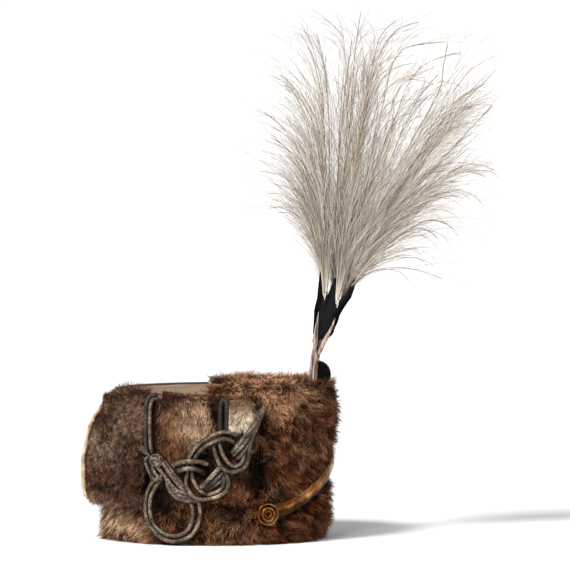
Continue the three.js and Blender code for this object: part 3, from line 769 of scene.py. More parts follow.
# %% [markdown]
# ## Hair from ribbons
#
# Fur can be grown with Blender's hair curves, but this lesson builds each hair as a thin flat
# ribbon that ends in a point. A ribbon is plain mesh, so it keeps its shape wherever the model
# goes, and thousands of them are quick to make at once with numpy.
#
# Real fur falls into locks. So clump places come first, spread evenly over a panel, and each clump
# grows some hairs that start apart and draw together towards their tips. Slow swirls turn the
# clumps, and patches of tint, given at each hair's root, follow the photographed coat.

# %% Ribbon mesh
def add_ribbons(name, lines, widths, sides, material, values):
    """One mesh of many ribbons. Each follows a line, has a width at each point and ends in a tip.

    values holds named numbers for each ribbon; along is 0 at a ribbon's root and 1 at its tip.
    """
    count, levels = lines.shape[:2]
    per = 2 * levels - 1
    half = widths[..., None] * sides / 2
    points = np.empty((count, per, 3))
    points[:, 0:-1:2] = lines[:, :-1] - half[:, :-1]
    points[:, 1:-1:2] = lines[:, :-1] + half[:, :-1]
    points[:, -1] = lines[:, -1]
    corners = []
    for i in range(levels - 2):
        corners += [2 * i, 2 * i + 1, 2 * i + 3, 2 * i + 2]
    corners += [per - 3, per - 2, per - 1]
    loops = (np.arange(count)[:, None] * per + np.array(corners)).ravel()
    sizes = np.tile([4] * (levels - 2) + [3], count)
    starts = np.concatenate(([0], np.cumsum(sizes)[:-1]))
    mesh = bpy.data.meshes.new(name)
    mesh.vertices.add(count * per)
    mesh.vertices.foreach_set("co", points.astype(np.float32).ravel())
    mesh.loops.add(len(loops))
    mesh.loops.foreach_set("vertex_index", loops.astype(np.int32))
    mesh.polygons.add(len(sizes))
    mesh.polygons.foreach_set("loop_start", starts.astype(np.int32))
    mesh.update(calc_edges=True)
    mesh.polygons.foreach_set("use_smooth", [True] * len(sizes))
    along = np.append(np.repeat(np.linspace(0, 1, levels)[:-1], 2), 1.0)
    columns = {"along": np.tile(along, (count, 1))}
    for key, column in values.items():
        columns[key] = np.repeat(column, per)
    store(mesh, columns)
    print(name, count, "ribbons,", count * (2 * levels - 3), "triangles")
    return show(name, mesh, material)


# %% Slow swirls
ROUND_RADIUS = 95 * MM
SWIRL_WAVES = 8
SWIRL_RANGE = 2.4


def swirl(seed, degrees, z, size):
    """Smooth values, mostly between -1 and 1, that wander over the cap in waves of about a size."""
    rng = np.random.default_rng(seed)
    run = np.radians(degrees) * ROUND_RADIUS
    total = 0
    for _ in range(SWIRL_WAVES):
        way = rng.uniform(0, 2 * np.pi)
        pace = 2 * np.pi / size * rng.uniform(0.6, 1.7)
        wave = pace * (run * np.cos(way) + z * np.sin(way))
        total = total + np.sin(wave + rng.uniform(0, 2 * np.pi))
    return total / SWIRL_RANGE


# %% Clump places
COAT_MIDDLE = 9 * MM
FINE_ANGLES = 600
EVEN_ROUND = 0.7548776662
EVEN_UP = 0.5698402910


def step_per_degree(degrees):
    """How far one degree runs round the middle of the coat."""
    _, a, b = oval(0.0)
    turn = np.radians(degrees)
    ahead, aside = (a + COAT_MIDDLE) * np.sin(turn), (b + COAT_MIDDLE) * np.cos(turn)
    return np.hypot(ahead, aside) * math.pi / 180


def edge_at(edge, degrees):
    """The height of an edge at angles, from a fixed height or a function of the angle."""
    return edge(degrees) if callable(edge) else edge


def scatter(rng, count, start, stop, low, high):
    """Even places between two angles and two heights, which may change with the angle.

    The two even steps are those that keep points in a square well apart, however many there are.
    """
    fine = np.linspace(start, stop, FINE_ANGLES)
    tall = np.maximum(edge_at(high, fine) - edge_at(low, fine), 0)
    weight = step_per_degree(fine) * tall
    run = np.concatenate(([0], np.cumsum((weight[1:] + weight[:-1]) / 2)))
    index = np.arange(count)
    loose = 0.3 / math.sqrt(count)
    u = (0.5 + index * EVEN_ROUND + rng.normal(0, loose, count)) % 1
    v = (0.5 + index * EVEN_UP + rng.normal(0, loose, count)) % 1
    degrees = np.interp(u * run[-1], run, fine)
    bottom, top = edge_at(low, degrees), edge_at(high, degrees)
    return degrees, bottom + (top - bottom) * v


# %% Grow hair on the cap
FLOOR_CLEAR = 0.8 * MM
TINY = 1e-9


def grow(
    name, rng, clumps, per_clump, under, outer, length, lean, material, tints,
    width, spread=2.0 * MM, gather=0.74, stir=0.22, levels=4, lowest=None,
):
    """Hair in clumps on the cap.

    A clump has a root angle and height, the distances off the wall of its root and of the coat's
    outside, a length, and a lean: 0 falls straight down, a right angle lies rearward on the
    wearer's right side and half a turn stands straight up. Its hairs start within a spread, gather
    towards their tips, and stir about its lean. No hair hangs below the lowest height.
    """
    pick = np.repeat(np.arange(len(clumps[0])), per_clump)
    total = len(pick)
    degrees, z = clumps[0][pick], clumps[1][pick]
    aside, above = rng.normal(0, spread, (2, total))
    turn = lean[pick] + rng.normal(0, stir, total)
    reach = length[pick] * rng.uniform(0.55, 1.15, total)
    push = rng.uniform(0.75, 1.2, total) * rng.uniform(0.55, 1.35, len(clumps[0]))[pick]
    curl = rng.normal(0, 0.16, total)
    t = np.linspace(0, 1, levels)[None]
    hold = 1 - gather * t**1.3
    bend = np.sin(turn)[:, None] * t + curl[:, None] * np.sin(np.pi * t)
    level = aside[:, None] * hold + reach[:, None] * bend
    rise = above[:, None] * hold - reach[:, None] * np.cos(turn)[:, None] * t
    depth = (outer - under)[pick] * push
    off = under[pick][:, None] + depth[:, None] * (1 - (1 - t) ** 1.8)
    height = z[:, None] + rise
    stop = FLOOR_CLEAR if lowest is None else lowest[pick][:, None]
    dip = np.maximum(stop - height, 0)
    height = np.maximum(height, stop - 0.25 * dip)
    height = np.maximum(height, FLOOR_CLEAR)
    off = off + dip * rng.uniform(-0.3, 0.45, len(clumps[0]))[pick][:, None]
    round_to = degrees[:, None] + level / step_per_degree(degrees)[:, None]
    lines = on_cap(round_to, height, off)
    run = unit(np.gradient(lines, axis=1), TINY)
    flat = unit(np.cross(run, outward(round_to, height)), TINY)
    roll = rng.uniform(-0.9, 0.9, total)[:, None, None]
    sides = np.cos(roll) * flat + np.sin(roll) * np.cross(flat, run)
    taper = (1 - 0.55 * t) * rng.uniform(0.65, 1.35, total)[:, None]
    values = {key: column[pick] for key, column in tints.items()}
    own, shared = rng.normal(0.44, 0.11, total), rng.normal(0, 0.36, len(clumps[0]))
    values["tint"] = np.clip(own + shared[pick], 0, 1)
    return add_ribbons(name, lines, width * taper, sides, material, values)


# %% Hem of the fur
def hem(degrees):
    """How far above the table the coat's lowest hair ends: ragged, and a little up in front."""
    front = np.clip(1 - np.abs(degrees) / 52, 0, 1)
    tuft = np.exp(-(((np.abs(degrees) - 55) / 5) ** 2))
    level = 0 * degrees
    ragged = 4.6 + 1.6 * swirl(9, degrees, level, 0.05) + 1.8 * swirl(10, degrees, level, 0.012)
    return np.maximum((ragged + 3.5 * front) * (1 - 0.8 * tuft), 0.8) * MM


def with_fringe(rng, degrees, z, count, start, stop):
    """Adds low clumps to a coat's clumps, so that its hem hangs full and ragged over the rim."""
    low_degrees, low_z = scatter(
        rng, count, start, stop, lambda d: hem(d) + 1.5 * MM, lambda d: hem(d) + 5 * MM
    )
    return np.concatenate((degrees, low_degrees)), np.concatenate((z, low_z))


# %% Fur panels
EDGE_SHARE = 0.4
LEAST_PAD = 0.4 * MM
PANEL_SEED = 3
PANEL_TINT = 0.45


def add_panel(
    name, start, stop, low, high, inner, outer, material,
    round_steps=90, up_steps=26, rough=0.5 * MM, shade=0.3,
):
    """A closed padded panel on the cap, thinner at its edges, with a slightly lumpy outside."""
    angle = np.linspace(start, stop, round_steps)[:, None]
    up = np.linspace(0, 1, up_steps)[None]
    bottom, top = edge_at(low, angle), edge_at(high, angle)
    degrees = angle + 0 * up
    z = bottom + (top - bottom) * up
    side = np.linspace(0, 1, round_steps)[:, None]
    edge = np.minimum(np.minimum(up, 1 - up) * 12, np.minimum(side, 1 - side) * 25)
    swell = EDGE_SHARE + (1 - EDGE_SHARE) * np.sqrt(1 - (1 - np.clip(edge, 0, 1)) ** 2)
    inside = inner(degrees, z)
    lumps = rough * swirl(PANEL_SEED, degrees, z, 0.02)
    outside = inside + (outer(degrees, z) - inside) * swell + lumps
    outside = np.maximum(outside, inside + LEAST_PAD)
    points = np.stack((on_cap(degrees, z, outside), on_cap(degrees, z, inside)))
    # Painted shade: the panel's along value darkens it through the fur's root shade, most at its
    # side edges, where the gaps between panels lie in shadow.
    shaded = shade * (0.2 + 0.8 * np.clip(np.minimum(side, 1 - side) * 25, 0, 1)) + 0 * up
    tone = {"along": np.tile(shaded.ravel(), 2), "tint": np.full(2 * shaded.size, PANEL_TINT)}
    return add_mesh(name, points, shell_faces(round_steps, up_steps), material, tone)


# %% Fur colour
SHADE = linear(20, 12, 8)


def make_fur(name, deep, body, warm, pale, patch_scale=50.0, root=0.08):
    """Hair colour: slow patches from dark to warm, each hair's tint, pale marks, and painted shade
    at the roots and from the deep value.
    """
    material, tree, shader = start_material(name)
    patches = noise(tree, patch_scale, 4.0, 0.65)
    base = ramp(tree, patches, (0.34, deep), (0.46, body), (0.58, warm), (0.72, body))
    base = blend(tree, read_value(tree, "pale"), base, pale)
    tint = read_value(tree, "tint")
    own = ramp(tree, tint, (0.1, (0.2, 0.18, 0.17, 1)), (0.45, grey(0.75)), (0.85, WHITE))
    base = blend(tree, 1.0, base, own, "MULTIPLY")
    lift = ramp(tree, tint, (0.55, grey(0)), (1.0, (0.4, 0.235, 0.125, 1)))
    base = blend(tree, read_value(tree, "along"), base, blend(tree, 1.0, base, lift, "ADD"))
    # Painted shade: the deep value blends the hair towards a near-black shade colour.
    base = blend(tree, read_value(tree, "deep"), base, SHADE)
    # Painted shade: each hair darkens towards its root, to a root share of its colour.
    shade = ramp(
        tree, read_value(tree, "along"), (0.0, (root, 0.8 * root, 0.7 * root, 1)),
        (0.4, (0.3 + root, 0.27 + root, 0.25 + root, 1)), (0.75, grey(0.95)), (1.0, WHITE),
    )
    base = blend(tree, 1.0, base, shade, "MULTIPLY")
    set_inputs(tree, shader, Base_Color=base, Roughness=0.5, Specular_IOR_Level=0.08)
    bump(tree, shader, noise(tree, 900.0, 2.0), 0.25, 0.0005)
    return material


# Each coat: its deep, body, warm and pale colours.
FUR_COLOURS = {
    "fur_red": ((40, 20, 10), (104, 54, 27), (156, 88, 48), (238, 182, 140)),
    "fur_brown": ((44, 23, 12), (106, 58, 34), (154, 92, 54), (255, 214, 172)),
    "fur_grey": ((32, 19, 15), (76, 48, 37), (128, 84, 62), (236, 200, 168)),
    "cream_hair": ((150, 108, 76), (206, 162, 122), (226, 188, 150), (250, 232, 206)),
}


def coat(name, **settings):
    """The hair colour of a coat in the table."""
    return make_fur(name, *(linear(*colour) for colour in FUR_COLOURS[name]), **settings)


fur_red = coat("fur_red")
fur_brown = coat("fur_brown")
fur_grey = coat("fur_grey", patch_scale=70.0)
cream_hair = coat("cream_hair", patch_scale=90.0, root=0.32)

# %% Light marks and painted shade marks in the coat
# Each row: place along the hat, height, radius and strength, in millimetres.
PALE_MARKS = [
    (-165, 126, 18, 0.45), (-142, 118, 10, 0.3), (-184, 20, 20, 0.5), (-162, 16, 16, 0.45),
    (-40, 158, 24, 1.0), (0, 157, 27, 1.0), (-72, 20, 12, 0.2), (-98, 122, 16, 1.2),
    (-89, 108, 11, 1.1), (-106, 140, 9, 0.35), (-88, 134, 9, 0.5), (-17, 130, 9, 0.55),
    (14, 94, 13, 0.4), (-11, 149, 7, 0.3), (-36, 93, 9, 0.6), (-178, 86, 14, 0.35),
    (-192, 98, 11, 0.5), (-188, 26, 14, 0.6), (-60, 20, 12, 0.15), (-20, 60, 9, 0.2),
    (-150, 18, 14, 0.25),
]
# Painted shade: dark marks where shadow falls, beside the flaps and cords, inside the cord's loops
# and low on the coat.
SHADE_MARKS = [
    (-33, 68, 12, 1.9), (-34, 80, 11, 2.0), (7, 107, 5, 0.7), (-50, 42, 10, 0.45),
    (-77, 132, 6, 1.0), (0, 60, 12, 0.25), (16, 128, 16, 0.3), (-66, 27, 13, 0.35),
    (-160, 56, 20, 0.4), (-134, 42, 10, 1.1), (-138, 55, 8, 1.1), (-126, 57, 8, 1.1),
    (-118, 42, 9, 0.5), (-88, 89, 10, 1.8), (-91, 74, 6, 0.95), (-64, 98, 9, 1.8),
    (-70, 128, 8, 1.2), (-83, 74, 8, 1.6), (-66, 88, 7, 0.8), (-105, 72, 5, 0.9),
    (-127, 88, 5, 0.95), (-112, 66, 8, 0.4), (22, 24, 18, 0.35), (0, 18, 14, 0.3),
    (-28, 122, 5, 0.5), (-60, 66, 8, 0.35), (-84, 36, 9, 0.4), (-48, 104, 4, 0.5),
    (-66, 40, 7, 0.4),
]
HANG = 3.0
FUR_OUT = 14 * MM


def marks(table, degrees, z):
    """How strong marks are for hair rooted at places: it hangs, so its root lies higher."""
    x = on_cap(degrees, z, FUR_OUT)[..., 0] / MM
    total = np.zeros(np.shape(degrees))
    for px, pz, radius, amount in table:
        total += amount * np.exp(-(((x - px) ** 2 + (z / MM - HANG - pz) ** 2) / radius**2))
    return np.clip(total, 0, 1)


def coat_marks(degrees, z):
    """The pale value, and the deep value of painted shade from the shade marks and the creases, for
    clumps at places on the cap.
    """
    # Painted shade in the creases: where the coat dips, its hair is darker and less pale.
    crease_shade = np.clip(sunk(degrees, z) / 5, 0, 1)
    pale = marks(PALE_MARKS, degrees, z) * (1 - crease_shade)
    return {"pale": pale, "deep": np.clip(marks(SHADE_MARKS, degrees, z) + crease_shade, 0, 1)}


# %% Row tables
def along_rows(rows, at):
    """Reads a table of rows at places, with eased steps between rows."""
    places, column = np.array(rows, dtype=float).T
    index = np.clip(np.searchsorted(places, at, side="right") - 1, 0, len(places) - 2)
    t = np.clip((at - places[index]) / (places[index + 1] - places[index]), 0, 1)
    t = t * t * (3 - 2 * t)
    return column[index] + (column[index + 1] - column[index]) * t


# Each row: a height, and how far the coat stands off the wall there, in millimetres.
FRONT_PELT = [(3, 9.5), (16, 11.5), (44, 11), (56, 9.8), (90, 10), (108, 12), (132, 11.6), (150, 9)]
REAR_PELT = [(3, 9), (20, 10.5), (60, 9), (110, 8), (145, 5)]
FLAP_REAR = [
    (36, 24), (46, 27), (56, 29), (80, 30), (98, 27.5), (110, 25), (120, 21), (130, 14.5),
    (145, 10.5), (152, 9),
]
FLAP_SIDE = [(36, 16), (60, 18.5), (120, 17.5), (152, 13)]


def front_out(degrees, z):
    """The outside of the front fur, which tucks in under the hat at the very front."""
    tuck = np.clip(1.1 - np.abs(degrees) / 55, 0, 1) * np.clip(1 - z / (24 * MM), 0, 1) ** 1.5
    nose = 2.4 * np.exp(-((degrees / 34) ** 2))
    return (along_rows(FRONT_PELT, z / MM) - nose - 9.5 * tuck - 0.6 * sunk(degrees, z)) * MM


def rear_out(degrees, z):
    """The outside of the body fur at the rear, which is the same all round."""
    return along_rows(REAR_PELT, z / MM) * MM


def flap_out(degrees, z):
    """The outside of the flap at the back, which stands well away from the cap in the middle."""
    share = np.clip(np.abs(degrees - 180) / 52, 0, 1) ** 2
    middle, side = along_rows(FLAP_REAR, z / MM), along_rows(FLAP_SIDE, z / MM)
    return (middle * (1 - share) + side * share) * MM


# Each row: place along the hat, height, half width, half height and depth, in millimetres.
GROOVES = [
    (-76.5, 128, 4.2, 19, 6.0), (-35.5, 140, 5.5, 14, 6.5), (-33, 66, 7.0, 16, 4.0),
    (-136.5, 120, 3.4, 28, 5.0),
]


def sunk(degrees, z):
    """How far, in millimetres, the coat dips in the creases beside the cord and the lobe."""
    x = on_cap(degrees, z, FUR_OUT)[..., 0] / MM
    right = degrees < 180
    total = 0
    for px, pz, wide, tall, deep in GROOVES:
        dip = np.exp(-(((x - px) / wide) ** 2) - ((z / MM - pz) / tall) ** 4)
        total = total + right * deep * dip
    return total


def side_flap_out(degrees, z):
    """The outside of a side flap, which thins towards its top."""
    return 17.5 * MM - 0.12 * np.maximum(z - 120 * MM, 0) - sunk(degrees, z) * MM


# %% [markdown]
# ## The front of the coat
#
# The front is the longest fur, a shaggy red brown with paler tips, and lies mostly downwards in
# rough locks. A lumpy padded panel holds the roots and shows between locks as an undercoat darkened
# with painted shade, and a fringe of extra clumps hangs over the hem. No hair grows where the chin
# strap presses on it.

# %% Front fur
FRONT_SEED = 21
FRONT_CLUMPS = 3800
FRONT_EACH = 9
FRONT_FRINGE = 420
PILE = 7 * MM
COAT_HAIR = 0.46 * MM
SPLIT = 67.8
STRAP_HALF = 66.0
STRAP_PRESS = 10.5 * MM
# Each row: an angle from the front, and the height of the strap's middle in millimetres.
STRAP_ROUTE = [(0, 76), (10, 72), (20, 63), (30, 54), (40, 45), (52, 36), (66, 30.5)]


def ragged_end(rng, degrees):
    """The lowest height for each clump's hair: anywhere from the floor to the hem."""
    return hem(degrees) * np.maximum(rng.uniform(-0.9, 1.0, len(degrees)), 0)


def grow_front():
    """The shaggy coat of the front, with a fringe at its hem."""
    rng = np.random.default_rng(FRONT_SEED)
    degrees, z = scatter(rng, FRONT_CLUMPS, -SPLIT, SPLIT, lambda d: hem(d) + 5 * MM, 150 * MM)
    degrees, z = with_fringe(rng, degrees, z, FRONT_FRINGE, -SPLIT, SPLIT)
    pressed = np.abs(z - along_rows(STRAP_ROUTE, np.abs(degrees)) * MM) < STRAP_PRESS
    keep = ~(pressed & (np.abs(degrees) < STRAP_HALF))
    degrees, z = degrees[keep], z[keep]
    outer = front_out(degrees, z) + 1.2 * MM * swirl(5, degrees, z, 0.03)
    under = outer - PILE
    length = (12.5 + 3.5 * swirl(6, degrees, z, 0.05)) * MM
    lean = 0.8 * swirl(7, degrees, z, 0.045) + 0.55 * rng.normal(0, 1, len(z))
    outer = outer + 2.6 * MM * rng.uniform(0.0, 1.7, len(z)) * np.clip(z / (26 * MM), 0.4, 1)
    return grow(
        "front_fur_hair", rng, (degrees, z), FRONT_EACH, under, outer, length, lean,
        fur_red, coat_marks(degrees, z), width=COAT_HAIR, lowest=ragged_end(rng, degrees),
    )


front_skin = add_panel(
    "front_fur_undercoat", -SPLIT, SPLIT, lambda d: hem(d) + 1.5 * MM, 149 * MM,
    lambda d, z: 0.3 * MM + 0 * z,
    lambda d, z: np.maximum(front_out(d, z) - 6 * MM, 1.2 * MM),
    fur_red,
)
front_hair = grow_front()
fit_out((front_skin, front_hair), "front_fur")

# %% [markdown]
# ## The rim
#
# Round the front half the coat stands up past the crown as a ragged crest. Its hairs start on a
# low padded ridge and point up and a little outwards, with some locks falling either way.

# %% Rim fur
RIM_SEED = 31
RIM_CLUMPS = 1600
RIM_EACH = 8
RIM_HALF = 91.0
RIM_BACK = 95.5
# Each row: an angle from the front, and the crest's height in millimetres.
RIM_RIGHT = [
    (0, 152), (12, 152.5), (25, 155), (45, 157.5), (65, 160), (78, 160.5), (86, 159), (91, 155),
]
RIM_LEFT = [(0, 152), (12, 152.5), (25, 155), (45, 155.5), (65, 153.5), (80, 153), (91, 151.5)]


def rim_top(degrees):
    """The crest's height: low at the front, where the plume stands, and highest on the right."""
    turn = np.abs(degrees)
    return np.where(degrees > 0, along_rows(RIM_RIGHT, turn), along_rows(RIM_LEFT, turn)) * MM


def grow_rim():
    """The crest's hair: some on its outer face, some on its top and a little down its inside."""
    rng = np.random.default_rng(RIM_SEED)
    degrees, share = scatter(rng, RIM_CLUMPS, -RIM_BACK, RIM_BACK, 0.0, 1.0)
    top = rim_top(degrees)
    place_across = rng.uniform(0, 1, len(degrees))
    face = place_across > 0.45
    inside = place_across < 0.1
    out_at = front_out(degrees, 146 * MM + 0 * degrees)
    on_top = (-6 + 28 * (place_across - 0.1)) * MM
    root_off = np.where(face, out_at - PILE, np.where(inside, -6.5 * MM, on_top))
    root_off = np.minimum(root_off, out_at - 5 * MM)
    behind = np.where(inside, top - 5 * MM * share, top - 1 * MM)
    z = np.where(face, 145 * MM + (top - 145 * MM) * share, behind)
    clear = np.where((np.abs(degrees) < 13) & ~face, 0.45, 1.0)
    outer = np.where(face, out_at + 1.5 * MM, root_off + np.where(inside, -3, 1.5) * MM)
    wander = 0.9 * swirl(12, degrees, z, 0.03) + rng.normal(0, 0.6, len(z))
    upright = np.clip((z - 149 * MM) / np.maximum(top - 150 * MM, 2 * MM), 0, 1)
    lean = np.where(face, math.pi * upright**2, math.pi) + wander
    length = (7 + 2.5 * swirl(13, degrees, z, 0.02) + 3 * face) * MM * clear
    return grow(
        "rim_fur_hair", rng, (degrees, z), RIM_EACH, root_off, outer, length, lean,
        fur_red, coat_marks(degrees, z), width=COAT_HAIR, stir=0.4,
    )


rim_skin = add_panel(
    "rim_fur_undercoat", -RIM_HALF, RIM_HALF, 149.8 * MM,
    lambda d: np.maximum(rim_top(d) - 2.5 * MM, 150.6 * MM),
    lambda d, z: -6.3 * MM + 0 * z,
    lambda d, z: np.maximum(front_out(d, 146 * MM + 0 * z) - 6 * MM, 1 * MM),
    fur_red, up_steps=10, rough=0.8 * MM, shade=0.45,
)
rim_hair = grow_rim()
fit_out((rim_skin, rim_hair), "rim_fur")

# %% [markdown]
# ## The body fur behind the split
#
# The rear half of the cap carries its own coat. Most of it hides under the flaps, so hair grows
# only where it shows: below the flaps' lower edges and in the open strip near the split.

# %% Rear fur
REAR_SEED = 41
REAR_CLUMPS = 1900
REAR_EACH = 7
REAR_FRINGE = 380
REAR_FROM = 68.2
REAR_TO = 291.8
REAR_SHOWS = 54 * MM


def grow_rear():
    """The rear coat's hair below the flaps' edges, with a fringe at its hem."""
    rng = np.random.default_rng(REAR_SEED)
    degrees, z = scatter(
        rng, REAR_CLUMPS, REAR_FROM, REAR_TO, lambda d: hem(d) + 4 * MM, REAR_SHOWS
    )
    degrees, z = with_fringe(rng, degrees, z, REAR_FRINGE, REAR_FROM, REAR_TO)
    outer = rear_out(degrees, z) + 1.0 * MM * swirl(15, degrees, z, 0.03)
    under = outer - PILE
    length = (12 + 3 * swirl(16, degrees, z, 0.05)) * MM
    lean = 0.6 * swirl(17, degrees, z, 0.05) + 0.35 * rng.normal(0, 1, len(z))
    outer = outer + 2.5 * MM
    return grow(
        "rear_fur_hair", rng, (degrees, z), REAR_EACH, under, outer, length, lean,
        fur_brown, coat_marks(degrees, z), width=COAT_HAIR, lowest=ragged_end(rng, degrees),
    )


rear_skin = add_panel(
    "rear_fur_undercoat", REAR_FROM, REAR_TO, lambda d: hem(d) + 1 * MM, 145 * MM,
    lambda d, z: 0.3 * MM + 0 * z,
    lambda d, z: rear_out(d, z) - 5.0 * MM,
    fur_brown, round_steps=130, shade=0.1,
)
rear_hair = grow_rear()
fit_out((rear_skin, rear_hair), "rear_fur")

# %% [markdown]
# ## The worn flap at the back
#
# The back flap is old hide whose fur has worn short and grey, so it looks matted rather than
# shaggy. Many short hairs that cling to the hide give that look. Its cut edge shows as a thin pale
# line down the middle of the back.

# %% Rear flap
FLAP_SEED = 51
FLAP_CLUMPS = 4600
FLAP_EACH = 9
FLAP_FROM = 128
FLAP_TO = 232
FLAP_HAIR_FROM = 128.3
FLAP_HAIR_TO = 231.7
FLAP_GAP = 0.75 * MM
FLAP_LOW = 37 * MM
FLAP_PILE = 2.6 * MM
FLAP_HAIR = 0.4 * MM


def flap_top(degrees):
    """The flap's top edge, which dips in the middle of the back and is higher on the right."""
    rise = np.clip(np.abs(degrees - 180) / 30, 0, 1)
    step = np.where(degrees < 180, 10.0, 2.0)
    return (143 + step * rise * rise * (3 - 2 * rise)) * MM


def grow_flap():
    """Short matted hair over the flap, which turns up along its top edge."""
    rng = np.random.default_rng(FLAP_SEED)
    degrees, z = scatter(
        rng, FLAP_CLUMPS, FLAP_HAIR_FROM, FLAP_HAIR_TO,
        FLAP_LOW + 1 * MM, lambda d: flap_top(d) - 1 * MM,
    )
    outer = flap_out(degrees, z)
    under = outer - FLAP_PILE
    length = (5.5 + 1.5 * swirl(23, degrees, z, 0.04)) * MM
    lean = 0.9 * swirl(24, degrees, z, 0.04) + 0.5 * rng.normal(0, 1, len(z))
    crest = z > flap_top(degrees) - 7 * MM
    forward = 0.9 * np.clip((140 - degrees) / 10, 0, 1)
    lean = np.where(crest, 0.5 * lean + math.pi + forward, lean)
    length = length * np.where(crest, 0.7 + 1.7 * np.clip((160 - degrees) / 20, 0, 1), 1)
    return grow(
        "rear_flap_hair", rng, (degrees, z), FLAP_EACH, under, outer, length, lean,
        fur_grey, coat_marks(degrees, z), width=FLAP_HAIR,
        spread=1.2 * MM, gather=0.4, stir=0.5, levels=3,
    )


flap_skin = add_panel(
    "rear_flap_hide", FLAP_FROM, FLAP_TO, FLAP_LOW, flap_top,
    lambda d, z: rear_out(d, z) + FLAP_GAP,
    lambda d, z: flap_out(d, z) - FLAP_PILE + 0.4 * MM,
    fur_grey, round_steps=110, up_steps=34, shade=0.5,
)
flap_hair = grow_flap()
fit_out((flap_skin, flap_hair), "rear_flap")

# %% [markdown]
# ## The side flaps
#
# A flap hangs over each side. The right one shows a bleached, golden patch next to the cords and a
# pale lobe of almost bare hide beside it. Its fur is combed down close to the hide.

# %% Side flaps
# Each side: its seed, the two angles of its flap, and how many clumps it has.
SIDES = {"right": (61, 71.3, 119.8, 2000), "left": (71, 232.4, 360 - 71.3, 1500)}
SIDE_EACH = 8
# Each row: an angle from the front, and the height of the flap's top in millimetres.
SIDE_TOP = [(71, 140), (78, 147), (84, 147), (90, 142), (95, 143), (102, 151), (123, 153)]
LEFT_LOWER = 8
SIDE_LOW = 46 * MM
SIDE_BASE = 9.3 * MM
SIDE_PILE = 4.2 * MM


def side_top(degrees):
    """The flap's top edge; the left one sits a little lower and lies flatter."""
    left = degrees > 180
    top = along_rows(SIDE_TOP, np.where(left, 360 - degrees, degrees))
    return (top - np.where(left, LEFT_LOWER, 0)) * MM


def grow_side(name, seed, start, stop, clumps):
    """A side flap's combed hair; on the right it turns up along the top edge."""
    rng = np.random.default_rng(seed)
    degrees, z = scatter(
        rng, clumps, start, stop, SIDE_LOW + 1 * MM, lambda d: side_top(d) - 1.5 * MM
    )
    outer = side_flap_out(degrees, z) + 0.6 * MM * swirl(seed + 1, degrees, z, 0.02)
    under = outer - SIDE_PILE
    length = (10 + 2.5 * swirl(seed + 2, degrees, z, 0.04)) * MM
    lean = 0.45 * swirl(seed + 3, degrees, z, 0.05) + 0.3 * rng.normal(0, 1, len(z))
    near_top = (z > side_top(degrees) - 4 * MM) & (degrees < 180)
    lean = np.where(near_top, lean + 2.7, lean)
    length = length * np.where(near_top, 0.55, 1)
    return grow(
        name, rng, (degrees, z), SIDE_EACH, under, outer, length, lean,
        fur_brown, coat_marks(degrees, z), width=FLAP_HAIR, spread=1.4 * MM, gather=0.5,
    )


for side, (seed, start, stop, clumps) in SIDES.items():
    skin = add_panel(
        side + "_side_flap_hide", start, stop, SIDE_LOW, side_top,
        lambda d, z: SIDE_BASE + 0 * z,
        lambda d, z: side_flap_out(d, z) - SIDE_PILE + 0.5 * MM,
        fur_brown, round_steps=60, up_steps=30, shade=0.42,
    )
    hair = grow_side(side + "_side_flap_hair", seed, start, stop, clumps)
    fit_out((skin, hair), side + "_side_flap")

# %% [markdown]
# ## The pale lobe and the cut edge
#
# Beside the cords a small rounded lobe of cream hide hangs over the flap. It is a thin shell with
# short pale hair in small tufts, nearly white below, darker towards its top, and with painted
# shade at its sides. The cut edge of the back flap is a narrow rolled strip of bare hide.

# %% Pale hide
def make_bare_hide():
    """Cream hide: soft blotches, browner in its hollows, with fine grain."""
    material, tree, shader = start_material("bare_hide")
    blotches = noise(tree, 90.0, 4.0)
    base = ramp(
        tree, blotches,
        (0.3, linear(140, 106, 80)), (0.5, linear(196, 166, 134)), (0.7, linear(230, 208, 180)),
    )
    grain = ramp(tree, noise(tree, 800.0, 3.0), (0.35, (0.6, 0.56, 0.5, 1)), (0.6, WHITE))
    base = blend(tree, 0.7, base, grain, "MULTIPLY")
    set_inputs(tree, shader, Base_Color=base, Roughness=0.7)
    bump(tree, shader, noise(tree, 1200.0, 3.0), 0.4, 0.0005)
    return material


bare_hide = make_bare_hide()

# %% Lobe
LOBE_X = -53 * MM
LOBE_SEAT = 17.9 * MM
LOBE_WIDTHS = [(117, 9), (121, 12), (134, 13.5), (143, 11.5), (148, 6)]
LOBE_SEED = 71
LOBE_LEFT = -63.5 * MM
LOBE_ROWS = 25
LOBE_COLUMNS = 29
LOBE_HAIRS = 7000
LOBE_TUFTS = 620
LOBE_HAIR = 0.4 * MM
RIGHTWARD = np.array([0, -1.0, 0])


def lobe_point(share, z, out):
    """A point of the lobe from its share across, -1 to 1, its height and its distance out."""
    x = LOBE_X + share * along_rows(LOBE_WIDTHS, z / MM) * MM
    return on_right_side(x, z, LOBE_SEAT + out)


def lobe_swell(u, z):
    """How far the lobe's face stands out: fullest in the middle, thin at its edges."""
    top = np.clip((149.5 * MM - z) / (16 * MM), 0, 1)
    return 3.2 * MM * np.sqrt(np.clip(1 - u * u, 0, 1)) * np.sqrt(1 - (1 - top) ** 2)


def add_lobe():
    """The lobe's hide: a thin shell, crowned in front and flat behind."""
    u = np.linspace(-1, 1, LOBE_ROWS)[:, None]
    z = np.linspace(117, 145.5, LOBE_COLUMNS)[None] * MM
    swell = 0.8 * lobe_swell(u, z)
    front = lobe_point(u * 0.94, z, 0.25 * MM + swell)
    back = lobe_point(u * 0.94, z, 0 * swell)
    faces = shell_faces(LOBE_ROWS, LOBE_COLUMNS)
    return add_mesh("pale_lobe", np.stack((front, back)), faces, bare_hide)


